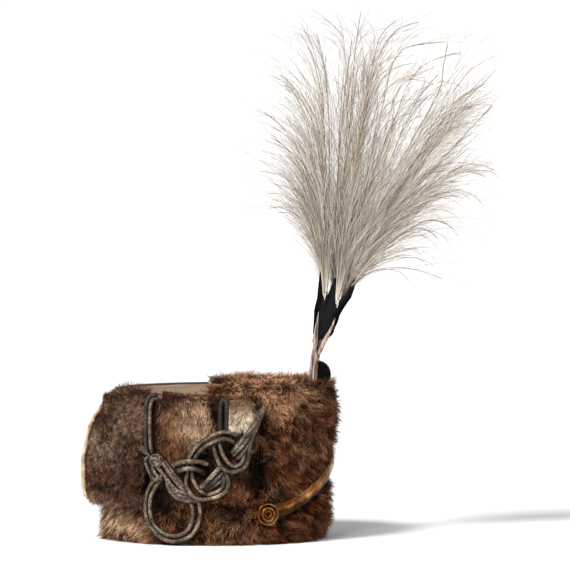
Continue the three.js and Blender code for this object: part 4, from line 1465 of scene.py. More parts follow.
def grow_lobe():
    """Short pale hair in tufts, that fans out from the lobe's top and stays within its outline."""
    rng = np.random.default_rng(LOBE_SEED)
    total, levels = LOBE_HAIRS, 4
    tuft = rng.integers(0, LOBE_TUFTS, total)
    u = (rng.uniform(-0.95, 0.95, LOBE_TUFTS)[tuft] + rng.normal(0, 0.06, total)).clip(-0.97, 0.97)
    z = rng.uniform(119, 147, LOBE_TUFTS)[tuft] + rng.normal(0, 0.9, total)
    z = np.clip(z, 118, 147.3) * MM
    length = rng.uniform(4, 9, LOBE_TUFTS)[tuft] * rng.uniform(0.7, 1.2, total) * MM
    side = u * along_rows(LOBE_WIDTHS, z / MM) * MM
    away = np.arctan2(side - 4 * MM, 138 * MM - z + 2.5 * MM)
    sway = 0.45 * np.clip(away, -1, 1) - 0.2
    sway = sway + 0.5 * rng.normal(0, 1, LOBE_TUFTS)[tuft] + rng.normal(0, 0.15, total)
    t = np.linspace(0, 1, levels)[None]
    x = (LOBE_X + side)[:, None] + (length * np.sin(sway))[:, None] * t
    x = np.maximum(x, LOBE_LEFT + 0.3 * (x - LOBE_LEFT))
    drop = z[:, None] - (length * np.cos(sway))[:, None] * t
    puff = rng.uniform(0.3, 3.6, LOBE_TUFTS)[tuft] * rng.uniform(0.7, 1.2, total)
    puff = puff[:, None] * MM * (1 - (1 - t) ** 1.8)
    lines = on_right_side(x, drop, LOBE_SEAT + lobe_swell(u, z)[:, None] * (1 - 0.4 * t) + puff)
    flat = unit(np.cross(unit(np.gradient(lines, axis=1)), RIGHTWARD))
    widths = LOBE_HAIR * (1 - 0.5 * t) * rng.uniform(0.7, 1.3, total)[:, None]
    pale = np.clip(1.3 - (z / MM - 118) / 22, 0, 1)
    # Painted shade at the lobe's sides; the hair also darkens towards the lobe's top.
    deep = np.clip((z / MM - 132) / 17, 0, 0.55) + np.clip((np.abs(u) - 0.72) * 2.5, 0, 0.55)
    tint = np.clip(rng.normal(0.55, 0.36, LOBE_TUFTS)[tuft] + rng.normal(0, 0.1, total), 0, 1)
    values = {"pale": pale, "deep": deep, "tint": tint}
    return add_ribbons("pale_lobe_hair", lines, widths, flat, cream_hair, values)


fit_out((add_lobe(), grow_lobe()), "hide_tab")

# %% Cut edge of the back flap
EDGE_LOW = 38 * MM
EDGE_HIGH = 134 * MM
EDGE_HALF = 2.1 * MM
EDGE_DEEP = 3.1 * MM
EDGE_STEPS = 130
EDGE_SIDES = 14


def add_cut_edge():
    """A narrow rolled strip of bare hide down the middle of the back, wavy as cut hide is."""
    z = np.linspace(EDGE_LOW, EDGE_HIGH, EDGE_STEPS)
    sway = 0.35 * np.sin(z / (6 * MM)) + 0.2 * np.sin(z / (2.3 * MM) + 1)
    behind = np.full(EDGE_STEPS, 180.0)
    prouder = 2.2 * MM * np.clip((100 * MM - z) / (40 * MM), 0, 1)
    seat = flap_out(behind, z) - 1.0 * MM + prouder
    to_end = np.minimum(z - EDGE_LOW + 1 * MM, EDGE_HIGH - z + 1 * MM)
    ends = np.sqrt(np.clip(to_end / (5 * MM), 0, 1))
    turn = np.linspace(0, 2 * np.pi, EDGE_SIDES + 1)[:-1]
    wide = EDGE_HALF * (1 + 0.25 * np.sin(z / (9 * MM)))[:, None] * np.cos(turn)[None]
    wide = wide * ends[:, None]
    deep = EDGE_DEEP * np.abs(np.sin(turn))[None] ** 0.7 * np.sign(np.sin(turn))[None]
    x = on_cap(behind, z, seat)[:, 0][:, None] - deep * ends[:, None]
    y = CAP_Y + sway[:, None] * MM * 2 + wide
    points = np.stack((x, y, z[:, None] + 0 * wide), axis=2)
    return add_mesh("back_cut_edge", points, ring_faces(EDGE_STEPS, EDGE_SIDES), bare_hide)


fit_out((add_cut_edge(),), "flap_edge")

# %% [markdown]
# ## Cap wall, crown and piping
#
# Under the fur stands a stiff wall of buff hide, open below for the head. It is plain in shape, so
# it keeps its solid and only needs a finish. The crown is pale, worn cloth, cut to an oval and
# stretched over the wall, where it sags a little, so it is made anew as a thin rippled disc. A dark
# cord is sewn round the back half of its edge.

# %% Cap finishes
THREAD_PITCH = 0.7 * MM


def finish_node(node, material):
    """Gives a carried-over solid its finish."""
    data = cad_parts[node].data
    data.materials.clear()
    data.materials.append(material)
    print(node, "keeps its solid, in", material.name)


def make_cap_hide():
    """Stiff leather with a fine pebbled grain and scuffs, in a mid brown darker than buff: painted
    shade.
    """
    material, tree, shader = start_material("cap_hide")
    # Painted shade: a mid brown, so that the wall reads as shadowed fur where it shows below the
    # hem.
    scuffs = ramp(
        tree, noise(tree, 35.0, 5.0, 0.7),
        (0.35, linear(104, 76, 54)), (0.55, linear(138, 108, 82)), (0.75, linear(166, 136, 108)),
    )
    set_inputs(tree, shader, Base_Color=scuffs, Roughness=0.6)
    pebbles = place(tree, "ShaderNodeTexVoronoi", Vector=own_place(tree), Scale=900.0)
    bump(tree, shader, pebbles.outputs["Distance"], 0.35, 0.0004)
    return material


def weave(tree, pitch):
    """Crossing threads of a plain weave, as a height, over the two level directions."""
    split = place(tree, "ShaderNodeSeparateXYZ", Vector=own_place(tree))
    threads = []
    for axis in ("X", "Y"):
        turn = sums(tree, "MULTIPLY", split.outputs[axis], math.pi / pitch)
        threads.append(sums(tree, "ABSOLUTE", sums(tree, "SINE", turn, 0.0), 0.0))
    return sums(tree, "MULTIPLY", threads[0], threads[1])


def make_crown_cloth():
    """Worn grey cream cloth: a plain weave with soft brown stains."""
    material, tree, shader = start_material("crown_cloth")
    stains = ramp(
        tree, noise(tree, 55.0, 6.0, 0.75),
        (0.3, linear(116, 92, 70)), (0.5, linear(146, 120, 96)), (0.7, linear(178, 152, 126)),
    )
    threads = weave(tree, THREAD_PITCH)
    lines = ramp(tree, threads, (0.0, (0.62, 0.58, 0.53, 1)), (0.5, WHITE))
    base = blend(tree, 0.75, stains, lines, "MULTIPLY")
    set_inputs(tree, shader, Base_Color=base, Roughness=0.85)
    bump(tree, shader, threads, 0.6, 0.0003)
    return material


def make_dark_piping():
    """Dark grey brown braid, darker in the slanting grooves between its threads."""
    material, tree, shader = start_material("dark_piping")
    bands = place(tree, "ShaderNodeTexWave", Vector=own_place(tree), Scale=260.0, Distortion=2.5)
    bands.bands_direction = "DIAGONAL"
    ridges = bands.outputs["Fac"]
    base = ramp(
        tree, ridges,
        (0.1, linear(34, 27, 22)), (0.6, linear(92, 76, 62)), (0.95, linear(128, 110, 92)),
    )
    set_inputs(tree, shader, Base_Color=base, Roughness=0.75)
    bump(tree, shader, ridges, 0.5, 0.0004)
    return material


finish_node("cap_shell", make_cap_hide())

# %% Crown cloth and its cord
CROWN_EDGE = 147.9 * MM
CROWN_SAG = 1.6 * MM
CROWN_CLOTH = 0.6 * MM
PIPING_HALF = 1.25 * MM
PIPING_FROM = 97.0
PIPING_TO = 263.0
PIPING_STEPS = 260
CROWN_ROUND = 120
CROWN_RINGS = 22


def add_crown():
    """A disc of cloth that sags a little inside the wall and has a few soft ripples."""
    degrees = np.linspace(0, 360, CROWN_ROUND, endpoint=False)[None]
    share = np.linspace(1, 0.02, CROWN_RINGS)[:, None]
    cx, a, b = oval(CAP_HIGH)
    turn = np.radians(degrees)
    x = cx + (a - 0.5 * MM) * share * np.cos(turn)
    y = CAP_Y - (b - 0.5 * MM) * share * np.sin(turn)
    inside = np.clip((0.95 - share) / 0.3, 0, 1)
    ripple = 0.25 * MM * np.sin(x / (9 * MM) + 1.5 * np.sin(y / (14 * MM))) * inside
    z = CROWN_EDGE - CROWN_SAG * inside * (1 - 0.15 * share) + ripple
    upper = np.stack(np.broadcast_arrays(x, y, z), axis=-1)
    lower = upper[::-1].copy()
    lower[..., 2] -= CROWN_CLOTH
    points = np.concatenate((upper[::-1], lower[::-1]))
    faces = ring_faces(2 * CROWN_RINGS, CROWN_ROUND)
    return add_mesh("crown_cloth", points, faces, make_crown_cloth())


def add_piping():
    """The dark cord on the crown's edge, a strand like those of the hat cord."""
    degrees = np.linspace(PIPING_FROM, PIPING_TO, PIPING_STEPS)
    z = np.full(PIPING_STEPS, CROWN_EDGE)
    line = on_cap(degrees, z + 0.9 * MM, -1.2 * MM)
    ring_at, _ = strand_points(line, 2 * PIPING_HALF, outward(degrees, z))
    faces = ring_faces(PIPING_STEPS, STRAND_SIDES)
    return add_mesh("crown_edge_cord", ring_at, faces, make_dark_piping())


crown, edge_cord = add_crown(), add_piping()
fit_out((crown,), "crown_top")
fit_out((edge_cord,), "crown_piping")

# %% [markdown]
# ## Gilt strap and bosses
#
# The chin strap is leather faced with gilt metal, buckled up out of use round the front. It is a
# smooth band with a rounded face. Its two bosses are turned discs with rings and a dimple, the
# shape that a lathe gives, so a profile spun round an axis makes them. Tarnish gathers in the
# hollows between the bosses' rings and along the band's edges. Painted shade darkens those hollows
# further and the band's lower half, and the band is darker everywhere but at a painted highlight
# partway round each side. A number for all this is stored at every point.

# %% Gilt
def make_gilt():
    """Old gilt brass in tarnish patches, darkened by tarnish and painted shade, bright at a painted
    highlight.
    """
    material, tree, shader = start_material("gilt")
    tarnish = noise(tree, 60.0, 5.0, 0.7)
    base = ramp(
        tree, tarnish,
        (0.3, linear(100, 56, 25)), (0.48, linear(176, 108, 54)), (0.66, linear(250, 194, 124)),
    )
    # Tarnish and painted light: the stored darkening value blends the gilt towards dark brown.
    base = blend(tree, read_value(tree, "darkening"), base, linear(46, 25, 12))
    streaks = noise(tree, 240.0, 4.0, 0.6, (1.0, 1.0, 3.0))
    worn = ramp(tree, streaks, (0.35, (0.45, 0.38, 0.3, 1)), (0.55, WHITE))
    base = blend(tree, 0.6, base, worn, "MULTIPLY")
    shine = ramp(tree, tarnish, (0.35, grey(0.48)), (0.65, grey(0.22)))
    set_inputs(tree, shader, Base_Color=base, Metallic=1.0, Roughness=shine)
    bump(tree, shader, noise(tree, 350.0, 4.0), 0.18, 0.0006)
    return material


gilt = make_gilt()

# %% Strap band
STRAP_WIDE = 15 * MM
STRAP_SEAT = 8.4 * MM
STRAP_THICK = 2 * MM
STRAP_SWELL = 0.8 * MM
STRAP_EDGE = 1.0 * MM
STRAP_STEPS = 220
STRAP_FRONT = 21
STRAP_BACK = 5
EASE = 6


def strap_face(share):
    """How far out the band's face is at a share across it, -1 to 1: rolled edges, round middle."""
    roll = 0.25 * MM * np.exp(-(((np.abs(share) - 0.88) / 0.07) ** 2))
    rise = STRAP_THICK + STRAP_SWELL - STRAP_EDGE
    return STRAP_SEAT + STRAP_EDGE + rise * (1 - share**2) ** 0.8 + roll


def add_strap():
    """The band: its section follows an eased route round the front, with slight dents."""
    angle = np.linspace(-STRAP_HALF, STRAP_HALF, STRAP_STEPS)
    middle = along_rows(STRAP_ROUTE, np.abs(angle)) * MM
    share = np.ones(2 * EASE + 1) / (2 * EASE + 1)
    middle = np.convolve(np.pad(middle, EASE, mode="edge"), share, mode="valid")
    shares = np.concatenate((np.linspace(-1, 1, STRAP_FRONT), np.linspace(1, -1, STRAP_BACK)))
    outs = np.concatenate((strap_face(shares[:STRAP_FRONT]), np.full(STRAP_BACK, STRAP_SEAT)))
    dent = 0.15 * MM * swirl(83, angle, middle, 0.03)
    z = middle[:, None] + shares[None] * STRAP_WIDE / 2
    out = outs[None] + dent[:, None] * (outs[None] > STRAP_SEAT)
    points = on_cap(angle[:, None] + 0 * z, z, out)
    # Painted shade darkens the band's lower half; a painted highlight keeps it bright near 29
    # degrees either side of the front, where dull is low; tarnish darkens its edges.
    low = np.clip(0.12 - shares, 0, 1) ** 0.7
    dull = np.clip(1.0 - 1.1 * np.exp(-(((np.abs(angle) - 29) / 12) ** 2)), 0, 1)
    edges = 0.25 * (np.abs(shares[None]) > 0.93)
    darkening = np.clip(low[None] * 1.2 + dull[:, None] * 0.45 + edges, 0, 0.95)
    faces = ring_faces(STRAP_STEPS, STRAP_FRONT + STRAP_BACK)
    return add_mesh("gilt_chin_strap", points, faces, gilt, {"darkening": darkening})


# %% Boss discs
BOSS_ANGLE = 64.0
BOSS_HIGH = 31 * MM
BOSS_PROUD = 0.9 * MM
# Each row: radius and height of a ring in millimetres, and how much tarnish and painted shade it
# holds.
BOSS_PROFILE = [
    (1.2, 2.3, 1), (2.1, 3.0, 0.92), (2.6, 3.7, 0.65), (3.4, 4.0, 0.4), (4.1, 3.5, 0.88),
    (4.6, 3.2, 1), (5.2, 4.3, 0.8), (6.2, 4.8, 0.25), (7.1, 4.4, 0.65), (7.7, 3.1, 0.95),
    (8.2, 2.0, 1.0), (8.7, 1.9, 1.0), (9.3, 2.8, 0.8), (10.1, 3.2, 0.35), (10.8, 2.9, 0.55),
    (11.3, 2.1, 0.85), (11.5, 1.4, 0.95), (11.5, 0, 0.95),
]
BOSS_SIDES = 72


def add_boss(name, side):
    """A disc turned on a lathe: rings of a profile round an axis that faces out of the cap."""
    turn = np.arange(BOSS_SIDES) * 2 * np.pi / BOSS_SIDES
    facing = outward(side * BOSS_ANGLE, BOSS_HIGH)
    seat = on_cap(side * BOSS_ANGLE, BOSS_HIGH, STRAP_SEAT + STRAP_THICK + STRAP_SWELL + BOSS_PROUD)
    aside = unit(np.cross((0, 0, 1.0), facing))
    points = []
    level = round_ways(turn, aside, np.cross(facing, aside))
    for radius, height, _ in BOSS_PROFILE:
        points.append(seat + facing * (height * MM) + (radius * MM) * level)
    darkening = np.repeat([row[2] for row in BOSS_PROFILE], BOSS_SIDES)
    faces = ring_faces(len(points), BOSS_SIDES)
    return add_mesh(name, np.concatenate(points), faces, gilt, {"darkening": darkening})


fit_out((add_strap(),), "chin_strap")
for name, side in (("boss_right", 1), ("boss_left", -1)):
    fit_out((add_boss("gilt_" + name, side),), name)

# %% [markdown]
# ## Cockade
#
# A black wool pompon, cut to half an egg with its flat back against the plume. Short upright hairs
# over a dark core give the clipped pile.

# %% Cockade
COCKADE_X = 23.8 * MM
COCKADE_Z = 163.6 * MM
COCKADE_HALF = np.array((12.7, 13, 13.5)) * MM
COCKADE_SIDES = 48
COCKADE_RINGS = 18
COCKADE_SEED = 91
COCKADE_HAIRS = 5200
COCKADE_HAIR = 0.5 * MM


def make_cockade_wool():
    """Black wool, a touch brown where it has faded, almost without shine."""
    material, tree, shader = start_material("cockade_wool")
    faded = noise(tree, 160.0, 4.0)
    base = ramp(tree, faded, (0.35, linear(12, 10, 10)), (0.65, linear(34, 28, 25)))
    set_inputs(tree, shader, Base_Color=base, Roughness=0.8, Specular_IOR_Level=0.2)
    bump(tree, shader, noise(tree, 1500.0, 2.0), 0.5, 0.0005)
    return material


cockade_wool = make_cockade_wool()


def cockade_point(turn, rise, grow_by=0.0):
    """A point of the half egg, by its turn round the front axis and its rise from the back."""
    deep, wide, high = COCKADE_HALF + grow_by
    x = COCKADE_X + deep * np.sin(rise)
    y = CAP_Y + wide * np.cos(rise) * np.cos(turn)
    z = COCKADE_Z + high * np.cos(rise) * np.sin(turn)
    return np.stack(np.broadcast_arrays(x, y, z), axis=-1)


def add_cockade():
    """The dark core under the pile."""
    turn = np.arange(COCKADE_SIDES) * 2 * np.pi / COCKADE_SIDES
    rises = np.linspace(0.0, math.pi / 2 - 0.04, COCKADE_RINGS)[:, None]
    rings = cockade_point(turn[None], rises, -1.2 * MM)
    back = rings[:1].copy()
    back[..., 0] = COCKADE_X + 0.1 * MM
    rings = np.concatenate((back, rings))
    return add_mesh("cockade_core", rings, ring_faces(len(rings), COCKADE_SIDES), cockade_wool)


def add_cockade_pile():
    """Clipped upright hairs all over the half egg."""
    rng = np.random.default_rng(COCKADE_SEED)
    total, levels = COCKADE_HAIRS, 3
    turn = rng.uniform(0, 2 * np.pi, total)
    rise = np.arcsin(rng.uniform(0, 1, total))
    root = cockade_point(turn, rise, -1.4 * MM)
    leans = rng.normal(0, 0.06, total), rng.normal(0, 0.06, total)
    tip = cockade_point(turn + leans[0], rise + leans[1], 0.5 * MM)
    tip = tip + rng.normal(0, 0.35 * MM, tip.shape)
    t = np.linspace(0, 1, levels)[None, :, None]
    lines = root[:, None] * (1 - t) + tip[:, None] * t
    aside = unit(np.cross(tip - root, rng.normal(0, 1, (total, 3))))
    sides = np.repeat(aside[:, None], levels, axis=1)
    widths = COCKADE_HAIR * np.ones((total, levels))
    return add_ribbons("cockade_pile", lines, widths, sides, cockade_wool, {})


fit_out((add_cockade(), add_cockade_pile()), "cockade")

# %% [markdown]
# ## Quills and socket
#
# The plume's quills come out of a small black socket behind the cockade, bound side by side, and
# two of them show again as pale slips across the black feathers. Each quill is a smooth, slowly
# tapering horn tube, so a bundle of thin tubes shows the real streaks that a painted rod would
# only suggest.

# %% Quill horn
def make_quill():
    """Pinkish cream horn with darker streaks along it and a soft shine."""
    material, tree, shader = start_material("quill")
    streaks = noise(tree, 420.0, 3.0, 0.6, (1.0, 1.0, 0.08))
    base = ramp(
        tree, streaks,
        (0.36, linear(70, 48, 40)), (0.5, linear(160, 136, 122)), (0.64, linear(206, 188, 176)),
    )
    set_inputs(tree, shader, Base_Color=base, Roughness=0.45)
    bump(tree, shader, streaks, 0.3, 0.0004)
    return material


quill_horn = make_quill()


def add_tubes(name, lines, radii, sides, material):
    """One mesh of round tubes along lines, each with its own radius at each point."""
    points, faces, count = [], [], 0
    turn = np.arange(sides) * 2 * np.pi / sides
    for line, radius in zip(lines, radii):
        first, second = across(line, RIGHTWARD + 0 * line)
        level = round_ways(turn, first[:, None], second[:, None])
        ring_at = line[:, None] + radius[:, None, None] * level
        faces += ring_faces(len(line), sides, first=count)
        points.append(ring_at.reshape(-1, 3))
        count += ring_at.shape[0] * sides
    return add_mesh(name, np.concatenate(points), faces, material)


# %% Quill bundle
# Each point: place along the hat and height in millimetres, and the step towards the right.
STEM = [(18.6, 149.9, 0), (20, 172, 0), (24, 194, 0), (27.5, 205, 0)]
QUILL_ROWS = {
    "quill_left": [(20.8, 188, -7.2), (21.8, 205, -7.9), (23.2, 217, -8.5), (24.6, 227, -9.4)],
    "quill_right": [(24.6, 184, -5.0), (30.8, 198, -7.2), (37, 210, -8.5), (41.3, 221, -9.4)],
}
QUILL_HALF = 2.3 * MM
QUILL_SIDES = 14
CORE_HALF = 1.6 * MM
ROUND_HALF = 1.55 * MM
ROUND_FAR = 2.9 * MM
ROUND_QUILLS = 6


def plume_line(rows, step):
    """A smooth line in the plume through rows of place, height and step towards the right."""
    return smooth_line([(x * MM, CAP_Y + y * MM, z * MM) for x, z, y in rows], step)[0]


def add_stem():
    """Seven quills, six round one, that turn a little about each other on the way up."""
    middle = plume_line(STEM, 2 * MM)
    first, second = across(middle, RIGHTWARD + 0 * middle)
    rise = np.linspace(0, 1, len(middle))
    lines, radii = [middle], [np.full(len(middle), CORE_HALF)]
    for i in range(ROUND_QUILLS):
        turn = i * math.pi / 3 + 0.5 * rise
        lines.append(middle + ROUND_FAR * round_ways(turn, first, second))
        radii.append(ROUND_HALF * (1 - 0.12 * np.sin(rise * 9 + i)))
    return add_tubes("quill_bundle", lines, radii, QUILL_SIDES, quill_horn)


fit_out((add_stem(),), "quill_stem")
for node, rows in QUILL_ROWS.items():
    line = plume_line(rows, 1 * MM)
    share = np.linspace(0, 1, len(line))
    taper = np.clip(1.35 * (1 - share) ** 0.7, 0.08, 1)
    radius = QUILL_HALF * taper * np.clip(0.6 + 2.5 * share, 0, 1)
    slip = add_tubes(node + "_slip", [line], [radius], QUILL_SIDES, quill_horn)
    fit_out((slip,), node)
finish_node("plume_socket", cockade_wool)

# %% [markdown]
# ## Black feather base
#
# Black feathers bind the foot of the plume. They are narrow blades that follow its swelling shape
# and run out at the top into three dark points, with white plume between them. Many overlapping
# ribbons, wide for blades and thin for loose barbs, give the silky streaks.

# %% Black feather
def make_black_feather():
    """Blue-black feather: deep, with a soft silky gleam and fine barbs along the blade."""
    material, tree, shader = start_material("black_feather")
    streaks = noise(tree, 220.0, 3.0, 0.6, (1.0, 1.0, 0.2))
    base = ramp(tree, streaks, (0.35, linear(5, 5, 7)), (0.7, linear(22, 22, 26)))
    set_inputs(tree, shader, Base_Color=base, Roughness=0.5, Specular_IOR_Level=0.15)
    bump(tree, shader, noise(tree, 900.0, 2.0, 0.6, (1.0, 1.0, 0.15)), 0.4, 0.0004)
    return material


black_feather = make_black_feather()

# %% Black blades
# Each row: place along the hat, height, half width and half depth, in millimetres.
BASE_ROWS = [
    (25.5, 194.6, 8.5, 6), (29.5, 207, 10.5, 7.5), (32.5, 220, 12.5, 8.5), (34, 232, 14, 9.5),
    (37, 243, 15.5, 10.5), (37.8, 249, 16.5, 11),
]
SPIKES = np.array([(27, 268), (41.2, 262), (61.5, 262)]) * MM
SPIKE_FROM = 226 * MM
BASE_SEED = 101
BLADES = 3400
TUFTS = 260
TUFT_WIDE = 0.6 * MM


def base_rows(z):
    """Middle, half width and half depth of the feather base at heights."""
    x, wide, deep = (along_rows([(r[1], r[k]) for r in BASE_ROWS], z / MM) * MM for k in (0, 2, 3))
    foot = np.clip((z / MM - 190) / 14, 0.3, 1) ** 0.7
    return x, wide * foot, deep * 0.9 * foot


def add_black_blades():
    """Blades that follow the base and draw together into three points above it."""
    rng = np.random.default_rng(BASE_SEED)
    total, levels = BLADES, 9
    turn = rng.uniform(0, 2 * np.pi, total)
    radius = np.sqrt(rng.uniform(0.3, 1.0, total))
    stay = radius * np.cos(turn)
    root_z = rng.uniform(195, 240, total) * MM
    goal = np.clip(np.round(1 + 1.5 * stay + rng.normal(0, 0.25, total)), 0, 2).astype(int)
    tip_x, tip_z = SPIKES[goal].T
    end_z = root_z + (tip_z - root_z) * rng.uniform(0.25, 1.0, total) ** 0.7
    t = np.linspace(0, 1, levels)[None]
    height = root_z[:, None] + (end_z - root_z)[:, None] * t
    middle, half, deep = base_rows(height)
    above = np.clip((height - SPIKE_FROM) / (tip_z[:, None] - SPIKE_FROM), 0, 1) ** 0.85
    tip_x = tip_x + rng.normal(0, 0.7 * MM, total)
    x = (middle + stay[:, None] * half) * (1 - above) + tip_x[:, None] * above
    y = CAP_Y + deep * (radius * np.sin(turn))[:, None] * (1 - 0.35 * above)
    lines = np.stack((x, y, height), axis=2)
    aside = np.stack((np.abs(np.sin(turn)) + 0.3, -np.cos(turn) * 0.7, 0 * turn), axis=1)
    aside = unit(aside + rng.normal(0, 0.25, (total, 3)))
    sides = np.repeat(aside[:, None], levels, axis=1)
    blade = 0.25 + 0.75 * np.sin(np.pi * np.clip(t, 0.05, 0.95))
    widths = rng.uniform(0.5, 1.5, total)[:, None] * MM * blade
    return add_ribbons("black_feather_blades", lines, widths, sides, black_feather, {})


def add_black_tufts():
    """Short ragged black tufts that stick out sideways at the foot of the base."""
    rng = np.random.default_rng(BASE_SEED + 1)
    total, levels = TUFTS, 5
    side = rng.choice((-1.0, 1.0), total)
    z = rng.uniform(194, 200, total) * MM
    x, half, deep = base_rows(z)
    t = np.linspace(0, 1, levels)[None]
    reach = rng.uniform(1.5, 5.5, total) * MM
    sweep = rng.normal(0, 0.5, total)
    x = x[:, None] + side[:, None] * (half[:, None] * 0.5 + reach[:, None] * t)
    root_y = CAP_Y + (rng.uniform(-1, 1, total) * deep)[:, None]
    y = root_y + sweep[:, None] * reach[:, None] * t * 0.4
    rise = z[:, None] + reach[:, None] * (0.1 + 0.3 * sweep[:, None]) * t
    lines = np.stack((x, y, rise), axis=2)
    aside = unit(np.repeat(rng.normal(0, 1, (total, 1, 3)) * (0.2, 0.3, 1), levels, axis=1))
    widths = TUFT_WIDE * (1 - 0.5 * t) * np.ones((total, 1))
    return add_ribbons("black_feather_tufts", lines, widths, aside, black_feather, {})


fit_out((add_black_blades(), add_black_tufts()), "feather_base")

# %% [markdown]
# ## The plume
#
# The plume is a fan of long egret feathers. Each feather is a thin shaft that bends outward, and
# hair-fine barbs leave it on both sides, at first almost along the shaft, then curving away and
# drooping under their own weight. The shafts are set from the photographed streaks, and numpy
# grows the barbs on them. Their white is not a plain white: old egret turns beige where it is
# dense, and each barb reads grey against a white ground.

# %% White feather
def make_white_feather():
    """Aged white feather: warm beige, each barb with its own tint, greyer and darker to its tip."""
    material, tree, shader = start_material("white_feather")
    own = ramp(
        tree, read_value(tree, "tint"), (0.05, linear(112, 94, 78)), (0.3, linear(176, 156, 134)),
        (0.6, linear(238, 226, 206)), (1.0, linear(255, 252, 245)),
    )
    worn = ramp(
        tree, read_value(tree, "along"),
        (0.0, WHITE), (0.5, (0.8, 0.78, 0.76, 1)), (1.0, (0.36, 0.34, 0.33, 1)),
    )
    base = blend(tree, 1.0, own, worn, "MULTIPLY")
    spots = noise(tree, 300.0, 3.0, 0.6, (1.0, 1.0, 0.3))
    flecks = ramp(tree, spots, (0.35, (0.78, 0.76, 0.73, 1)), (0.6, WHITE))
    base = blend(tree, 0.6, base, flecks, "MULTIPLY")
    set_inputs(tree, shader, Base_Color=base, Roughness=0.55, Specular_IOR_Level=0.3)
    return material


white_feather = make_white_feather()

# %% Shafts
# Each shaft: how full of barbs it is, and its places along the hat and heights, in millimetres.
SHAFTS = {
    "plume_left": [
        (1.0, [(30, 240), (29, 300), (29, 365), (28, 438), (18, 483), (5, 507)]),
        (1.2, [(33, 240), (39, 310), (45, 365), (51, 455), (50, 497), (41, 528)]),
        (1.0, [(30, 240), (30, 290), (30, 341), (25, 408), (9, 442), (-15, 465)]),
        (0.8, [(29, 240), (28, 280), (21, 330), (6, 385), (-12, 412), (-32, 428)]),
        (0.5, [(29, 240), (27, 272), (18, 315), (2, 350), (-18, 364), (-38, 367)]),
        (1.0, [(31, 240), (34, 300), (36, 350), (35, 420), (31, 470), (22, 508)]),
        (0.25, [(29, 240), (27, 268), (20, 295), (6, 320), (-10, 330), (-28, 330)]),
        (1.0, [(31, 240), (31, 300), (22, 370), (11, 420), (-4, 452), (-20, 462)]),
    ],
    "plume_centre": [
        (1.3, [(40, 238), (47, 290), (59, 341), (68, 413), (77, 461), (86, 502), (104, 520)]),
        (1.2, [(41, 238), (52, 300), (62, 370), (73, 430), (81, 470), (98, 505), (128, 517)]),
        (1.3, [(38, 238), (44, 310), (52, 380), (58, 440), (60, 480), (67, 529)]),
        (1.0, [(42, 238), (56, 300), (72, 360), (86, 420), (97, 470), (110, 491), (152, 497)]),
        (1.0, [(43, 238), (60, 300), (78, 360), (99, 412), (114, 454), (134, 476), (170, 486)]),
        (1.0, [(40, 238), (50, 300), (60, 360), (66, 420), (70, 470), (66, 508)]),
        (1.0, [(44, 238), (62, 290), (84, 345), (105, 400), (124, 440), (146, 466)]),
        (1.3, [(37, 238), (40, 300), (44, 370), (49, 430), (54, 470), (58, 500)]),
    ],
    "plume_right": [
        (1.2, [(47, 240), (66, 300), (100, 365), (133, 425), (146, 449), (150, 478), (154, 497)]),
        (1.2, [(48, 240), (71, 305), (112, 372), (143, 420), (165, 456), (182, 473), (204, 484)]),
        (1.0, [(48, 240), (80, 304), (124, 355), (160, 391), (184, 418), (200, 434)]),
        (1.0, [(47, 240), (76, 300), (118, 360), (150, 408), (172, 440), (192, 458), (203, 471)]),
        (0.8, [(48, 240), (84, 298), (122, 340), (155, 366), (180, 374), (203, 367)]),
        (0.5, [(48, 240), (86, 292), (120, 325), (152, 348), (176, 345), (190, 334)]),
        (0.2, [(48, 240), (84, 284), (110, 306), (136, 318), (156, 312), (166, 298)]),
        (0.05, [(48, 240), (70, 262), (92, 270), (124, 268), (150, 258)]),
    ],
}
BUNCH_DEEP = {"plume_left": 13 * MM, "plume_centre": 17 * MM, "plume_right": 15 * MM}
BUNCH_LEAN = {"plume_left": -0.9, "plume_centre": 0.0, "plume_right": 0.7}
BARBS = {"plume_left": 1750, "plume_centre": 2500, "plume_right": 2400}
FULL_SHAFTS = 28
LONE_SHAFTS = 30
PLUME_TOP = 500 * MM
PLUME_REACH = 196 * MM
PLUME_SEED = 121
FAN_FOOT = (35, 240)
ROUTE_POINTS = 40
SHAFT_WIDE = 0.62 * MM
BARB_WIDE = 0.25 * MM


def fan_angle(row):
    """How far forward a listed shaft leans, from the fan's foot to its tip."""
    x, z = row[1][-1]
    return math.atan2(x - FAN_FOOT[0], z - FAN_FOOT[1])


def even_route(rows):
    """A listed shaft at even steps."""
    line, length = smooth_line([(x * MM, 0.0, z * MM) for x, z in rows], 1 * MM)
    return line[np.linspace(0, round(length / MM) - 1, ROUTE_POINTS).astype(int)]


def shaft_lines(node, rng, count, spread, shortest):
    """Shafts between the listed ones of a bunch, spread front to back, and how full each is."""
    table = sorted(SHAFTS[node], key=fan_angle)
    fullness = np.array([row[0] for row in table])
    even = np.array([even_route(row[1]) for row in table])
    lines, full = [], []
    for i in range(count):
        at = i if i < len(table) else rng.uniform(0, len(table) - 1)
        low = min(int(at), len(table) - 2)
        part = at - low
        route = even[low] * (1 - part) + even[low + 1] * part
        share = np.linspace(0, 1, len(route))[:, None]
        if i >= len(table):
            route = route + rng.normal(0, spread, 3) * share**1.5 * (1, 0, 0.6)
            route = route[0] + (route - route[0]) * rng.uniform(shortest, 1.0)
        aside = BUNCH_DEEP[node] * rng.uniform(-1, 1) * np.clip(share[:, 0] * 1.5, 0, 1)
        route[:, 1] = CAP_Y + aside + rng.normal(0, 2 * MM)
        lines.append(smooth_line(route[::3], 4 * MM)[0])
        full.append(fullness[low] * (1 - part) + fullness[low + 1] * part)
    return lines, np.array(full)


